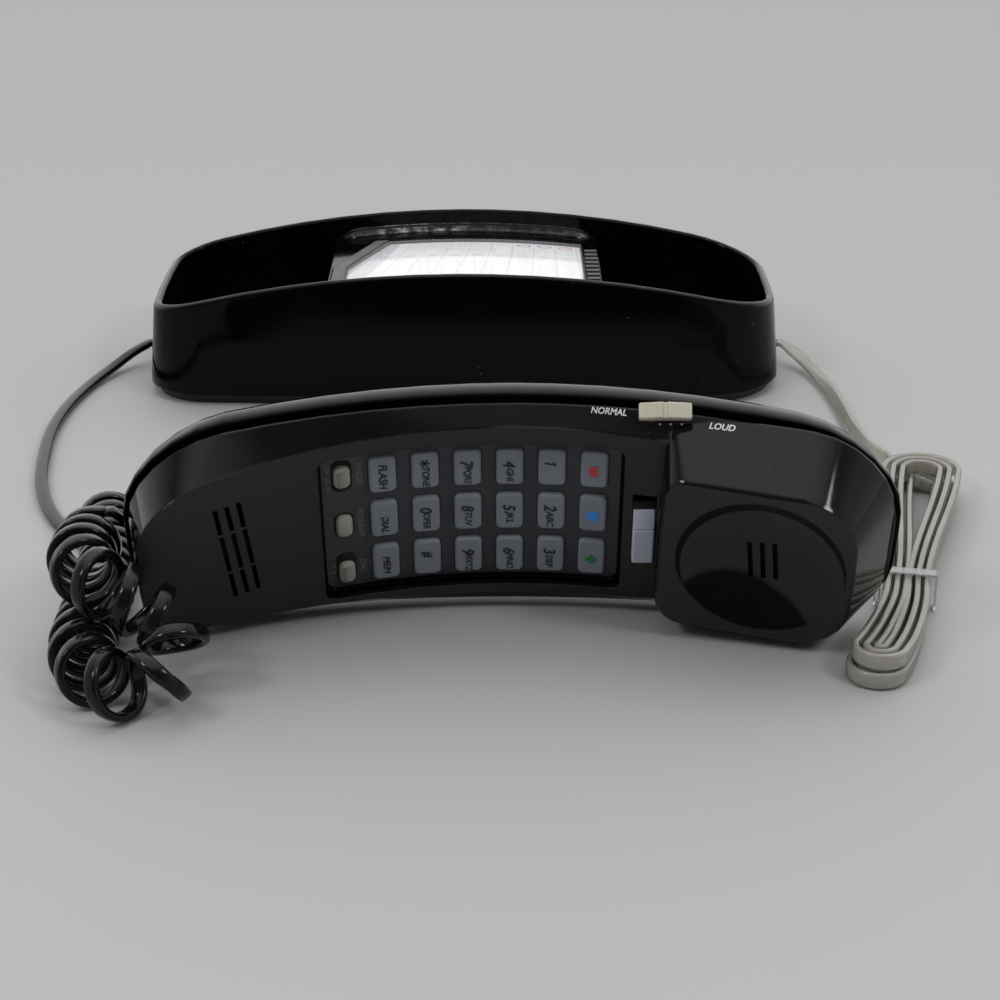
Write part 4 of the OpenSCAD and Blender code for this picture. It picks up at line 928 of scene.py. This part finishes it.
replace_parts(control("ringer_slide_piece", 0, 0.0, True, "ringer_slide_cap"), "ringer_slide")
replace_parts(control("program_button_piece", 1, 0.0, False, "program_button_cap"), "program_button")
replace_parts(control("dial_slide_piece", 2, -CONTROL_SLIDE / 2, True, "dial_slide_cap"), "dial_slide")

for n, (text, height, du, i) in enumerate((
    ("RINGER", 1.75, 4.55, 0), ("PROGRAM", 1.75, 4.35, 1), ("DIAL", 1.75, 4.45, 2),
    ("OFF  LO  HI", 1.4, -3.75, 0), ("T   P", 1.4, -3.85, 2),
)):
    place = on_face(CONTROL_U + du, CONTROL_V[i], INK_UP - PANEL_DROP) @ READ_DOWN
    words(f"panel_words_{n}", text, height, 0.92, place, "handset", "faint_ink", weight=0.02)

# ------------------------ volume slide
VOLUME_U, VOLUME_KNOB, VOLUME_STEM = 40.5, 14.0, 5.5
TEETH, TOOTH_UP = 7, 0.28                   # on each of the knob's two slopes
NOTCH, NOTCH_TOP, NOTCH_FLOOR = (0.8, 0.35), 3.55, 3.0
KNOB_FOOT, SHOULDER, KNOB_RISE = 0.6, 2.4, 1.05
volume = (
    HANDSET
    @ Matrix.Translation((VOLUME_U, HS_W / 2 - 2.65, seam_z(VOLUME_U) + 2.7))
    @ Matrix.Rotation(math.radians(35), 4, "X")
)
half = VOLUME_KNOB / 2


def teeth(x_start, x_end, y_start, y_end, crest):
    """Points of one slope's teeth; crest is how far along its pitch a tooth's top lies."""
    out = []
    for k in range(TEETH):
        for part, up in ((0, 0.0), (crest, TOOTH_UP)):
            f = (k + part) / TEETH
            out.append((x_start + (x_end - x_start) * f, y_start + (y_end - y_start) * f + up))
    return out


knob_top = SHOULDER + KNOB_RISE
profile = [(-half, KNOB_FOOT), (half, KNOB_FOOT), (half, SHOULDER)]
profile += teeth(half, NOTCH[0], SHOULDER, knob_top, 0.55)
profile += [(NOTCH[0], NOTCH_TOP), (NOTCH[1], NOTCH_FLOOR), (-NOTCH[1], NOTCH_FLOOR), (-NOTCH[0], NOTCH_TOP)]
profile += teeth(-NOTCH[0], -half, knob_top, SHOULDER, 0.45)
profile.append((-half, SHOULDER))
knob_rings = [
    [(x * (1 - inset / half), y - (inset if y > 1 else 0), z) for x, y in profile]
    for z, inset in ((-2.2, 0.25), (-1.95, 0.0), (1.95, 0.0), (2.2, 0.25))
]
knob = tube("volume_knob_piece", moved(volume, knob_rings), smooth=False)
assign(knob, MAT["beige"])
half_stem = VOLUME_STEM / 2
stem_section = ((-half_stem, 0.2), (half_stem, 0.2), (half_stem, 1.6), (-half_stem, 1.6))
stem_rings = [[(x, y, z) for x, z in stem_section] for y in (-4.5, 0.7)]
stem = tube("volume_stem_piece", moved(volume, stem_rings), smooth=False)
assign(stem, MAT["beige"])
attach(knob, "volume_slide_knob")
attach(stem, "volume_slide_knob")
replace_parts(knob, "volume_slide")

# words on the side wall, laid on its surface
wall = surface_of("handset_front")
DOT_PITCH, DOT_R = 2.9, 0.3


def wall_place(u, v, w, out, turn=0.0):
    """Axes on the handset's side wall: x along the handset, z out of the wall, out = (v, w) of its normal."""
    nv, nw = Vector(out).normalized()
    axes = Matrix(((1, 0, 0, u), (0, nw, nv, v), (0, -nv, nw, w), (0, 0, 0, 1)))
    return HANDSET @ axes @ Matrix.Rotation(math.radians(turn), 4, "Z")


def lay_on_wall(obj, place, lift=0.03):
    """Moves each point of a thin mesh on to the wall, along the place's z."""
    out = (place.to_3x3() @ Vector((0, 0, 1))).normalized()
    back = place.inverted()
    for vert in obj.data.vertices:
        height = (back @ vert.co).z
        hit = wall.ray_cast(vert.co + out * 5 * MM, -out)[0]
        if hit is None:
            raise RuntimeError(f"{obj.name} misses the wall")
        vert.co = hit + out * (lift + height) * MM
    obj.data.update()


for name, text, u, v, w, out, turn, tall, squeeze in (
    ("word_normal", "NORMAL", 25.6, 34.1, 3.9, (0.58, 0.81), -4.8, 1.75, 0.95),
    ("word_loud", "LOUD", 55.5, 32.7, 8.8, (0.91, 0.39), -11.0, 1.9, 0.95),
):
    place = wall_place(u, v, w, out, turn)
    lay_on_wall(words(name, text, tall, squeeze, place, "handset", "white_ink"), place)
for n in range(3):
    place = wall_place(VOLUME_U + 1.6 + DOT_PITCH * (n - 1), 32.0, 6.6, (0.6, 0.8))
    around = [2 * math.pi * k / 12 for k in range(12)]
    circle = [(DOT_R * math.cos(a), DOT_R * math.sin(a)) for a in around]
    dot = tube(f"volume_dot_{n}", moved(place, slab(circle, -0.01, 0.01)))
    lay_on_wall(dot, place)
    assign(dot, MAT["white_ink"])
    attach(dot, "handset")

# ------------------------ fillet at the back of the platform, with a painted highlight broken up like scuffs
FILLET_R, FILLET_END, FILLET_STEPS, FILLET_LIFT = 3.2, 48.5, 20, 0.02
HIGHLIGHT_FROM, HIGHLIGHT_TO, HIGHLIGHT_RIGHT = (-36, -30), (-6, 4), (40, 46)     # where the painted highlight and its scuffs begin and end along x
fillet_sheen = dusty_gloss("shell_painted_highlight", srgb(0.09, 0.09, 0.095), 0.2)
x = fillet_sheen.axes(Matrix.Scale(MM, 4))[0]
# painted highlight: light grey along the fillet's middle, where it faces up and forward to the light from
# above, broken into scuff-like streaks by noise
middle = fillet_sheen.ramp(fillet_sheen.facing(Vector((0, -0.7, 0.7)).normalized()), 0.90, 0.99)
span = fillet_sheen.math("MULTIPLY", fillet_sheen.ramp(x, *HIGHLIGHT_FROM), fillet_sheen.ramp(x, *HIGHLIGHT_TO, 1, 0))
span = fillet_sheen.math("MAXIMUM", fillet_sheen.math("MAXIMUM", span, fillet_sheen.ramp(x, *HIGHLIGHT_RIGHT, 0, 0.6)), 0.16)
scuffs_and_highlight = fillet_sheen.math("MULTIPLY", middle, span)
scuffs_and_highlight = fillet_sheen.math("MULTIPLY", scuffs_and_highlight, fillet_sheen.ramp(fillet_sheen.noise(260, 5, 0.7), 0.40, 0.66))
fillet_sheen.color(fillet_sheen.mix(scuffs_and_highlight, srgb(0.07, 0.07, 0.075), srgb(0.72, 0.72, 0.71)))
shell = surface_of("base_shell")
back_edge = max(v.co.y for v in NODES["card_bezel"].data.vertices) / MM
arcs = []
for k in range(2 * FILLET_STEPS + 1):
    x = FILLET_END * (k / FILLET_STEPS - 1)
    z_floor = shell.ray_cast(Vector((x, back_edge + 0.4, 150)) * MM, Vector((0, 0, -1)))[0].z / MM
    y_wall = shell.ray_cast(Vector((x, back_edge + 0.3, z_floor + 2.5)) * MM, Vector((0, 1, 0)))[0].y / MM
    # the fillet thins out towards its ends
    taper = min((FILLET_END - abs(x)) / 9 + 0.12, 1)
    r = min(FILLET_R, y_wall - back_edge - 0.2) * taper * (2 - taper)
    angles = [math.radians(90 * t / 8) for t in range(9)]
    arc = [(y_wall - r + r * math.sin(a), z_floor + r - r * math.cos(a)) for a in angles]
    arc.append((y_wall - 0.02, z_floor + 0.02))
    arcs.append([Vector((x, y, z + FILLET_LIFT)) for y, z in arc])
fillet = tube("platform_fillet", in_metres(arcs))
assign(fillet, fillet_sheen.material)
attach(fillet, "base")

# ------------------------ index card
card = Shader("card_printed")
x, y, _ = card.axes(Matrix.Scale(MM, 4))
paper = card.mix(card.ramp(card.noise(120, 4), 0.3, 0.7), srgb(0.92, 0.92, 0.93), srgb(0.95, 0.95, 0.95))


def line_mask(value, pitch, thick, offset=0.0):
    """1 on thin lines that repeat with a pitch."""
    within = card.math("FRACT", card.math("DIVIDE", card.math("ADD", value, offset), pitch))
    from_middle = card.math("ABSOLUTE", card.math("SUBTRACT", within, 0.5))
    return card.ramp(from_middle, 0.5 - thick / pitch, 0.5 - 0.5 * thick / pitch)


card_points = [v.co / MM for v in NODES["index_card"].data.vertices]
card_left = min(p.x for p in card_points)
card_front, card_back = min(p.y for p in card_points), max(p.y for p in card_points)
COLUMN, COLUMN_SHIFT, RULE = 8.8, 1.7, 0.3
FAN_FROM, FAN, FAN_LEAST = 29, 0.0044, 0.02     # the ruled lines lean more, the further left they are
OVAL_HALF_X, OVAL_HALF_Y = 3.0, 1.7
OVAL_ROWS = (3.2, 0.12, 0.8), (17.0, 0.22, 0.0) # place from the back edge, strength of blots and of outlines
OUTLINES_FROM, BLUE_FROM, RED_FROM, FADE = 15.8, 24.6, 33.4, 0.2
END_BAND = 10.0, 10.6
GREY = srgb(0.58, 0.58, 0.62)
lean_by = card.math("ADD", card.math("MULTIPLY", card.math("SUBTRACT", FAN_FROM, x), FAN), FAN_LEAST)
from_mid = card.math("SUBTRACT", y, (card_front + card_back) / 2)
along = card.math("SUBTRACT", x, card.math("MULTIPLY", lean_by, from_mid))
columns = line_mask(along, COLUMN, RULE, COLUMN_SHIFT)
within = card.math("FRACT", card.math("DIVIDE", card.math("ADD", along, COLUMN_SHIFT), COLUMN))
across = card.math("SUBTRACT", within, 0.5)
tinted = card.mix(card.math("MULTIPLY", columns, 0.3), paper, srgb(0.45, 0.47, 0.55))
for from_back, faint, strong in OVAL_ROWS:
    wide = card.math("POWER", card.math("MULTIPLY", across, COLUMN / OVAL_HALF_X), 2)
    from_row = card.math("SUBTRACT", y, card_back - from_back)
    deep = card.math("POWER", card.math("DIVIDE", from_row, OVAL_HALF_Y), 2)
    reach = card.math("ADD", wide, deep)
    blot = card.math("MULTIPLY", card.ramp(reach, 0.4, 1.3, 1, 0), faint)
    outline = card.math("MULTIPLY", card.ramp(reach, 0.35, 0.75), card.ramp(reach, 1.0, 1.4, 1, 0))
    outline = card.math("MULTIPLY", outline, card.ramp(along, OUTLINES_FROM, OUTLINES_FROM + FADE, 0, strong))
    hue = card.mix(card.ramp(along, RED_FROM, RED_FROM + FADE), srgb(0.56, 0.62, 0.78), srgb(0.88, 0.50, 0.58))
    hue = card.mix(card.ramp(along, BLUE_FROM, BLUE_FROM + FADE), GREY, hue)
    tinted = card.mix(outline, card.mix(blot, tinted, GREY), hue)
band = card.ramp(along, *(card_left + edge for edge in END_BAND), 0.7, 0)
card.color(card.mix(band, tinted, srgb(0.72, 0.72, 0.74)))
card.rough(card.ramp(card.noise(90, 3), 0.3, 0.7, 0.5, 0.7))
card.bsdf.inputs["Coat Weight"].default_value = 1.0
card.bsdf.inputs["Coat Roughness"].default_value = 0.08
card.bump(card.noise(1200, 2), 0.04, 0.00002)
assign(NODES["index_card"], card.material)

# ------------------------ stage and lights
TENT_FRONT, TENT_BACK, TENT_SIDE, TENT_TOP = 0.14, 1.15, 0.45, 1.2
BACKDROP = 0.46
FLOOR_HALF, FLOOR_Z = 9, -0.0004
corners = [(x * FLOOR_HALF, y * FLOOR_HALF, FLOOR_Z) for x, y in ((-1, -1), (1, -1), (1, 1), (-1, 1))]
floor = link("stage_floor", corners, [(0, 1, 2, 3)])
pale = Shader("stage_pale")
pale.color(srgb(0.66, 0.66, 0.66))
pale.rough(0.7)
assign(floor, pale.material)

world = bpy.data.worlds.new("tent")
world.use_nodes = True
scene.world = world
sky = Nodes(world.node_tree)
background = sky.tree.nodes["Background"]
# a light tent, pale at the back, the sides and the top, with its open front dark
toward = sky.node("ShaderNodeSeparateXYZ")
sky.join(sky.node("ShaderNodeTexCoord").outputs["Generated"], toward.inputs[0])
glow = sky.math("ADD", sky.ramp(toward.outputs["Y"], -0.15, 0.65, 0, TENT_BACK), TENT_FRONT)
glow = sky.math("ADD", glow, sky.ramp(sky.math("ABSOLUTE", toward.outputs["X"]), 0.5, 0.95, 0, TENT_SIDE))
glow = sky.math("ADD", glow, sky.ramp(toward.outputs["Z"], 0.75, 0.97, 0, TENT_TOP))
background.inputs["Color"].default_value = (1, 1, 1, 1)
# past the floor's edge the camera sees a plain backdrop as pale as the floor
by_camera = sky.node("ShaderNodeLightPath").outputs["Is Camera Ray"]
sky.join(sky.mix_value(by_camera, glow, BACKDROP), background.inputs["Strength"])


def area(name, at, aim, size, power):
    made = bpy.data.lights.new(name, "AREA")
    made.shape = "RECTANGLE"
    made.size, made.size_y = size
    made.energy = power
    obj = bpy.data.objects.new(name, made)
    obj.location = at
    obj.rotation_euler = (Vector(aim) - Vector(at)).to_track_quat("-Z", "Y").to_euler()
    scene.collection.objects.link(obj)


for side, x in (("left", -0.75), ("right", 0.75)):
    area(side, (x, -0.75, 0.95), (0, -0.15, 0), (0.25, 0.25), 3.2)

scene.view_settings.view_transform = "Standard"
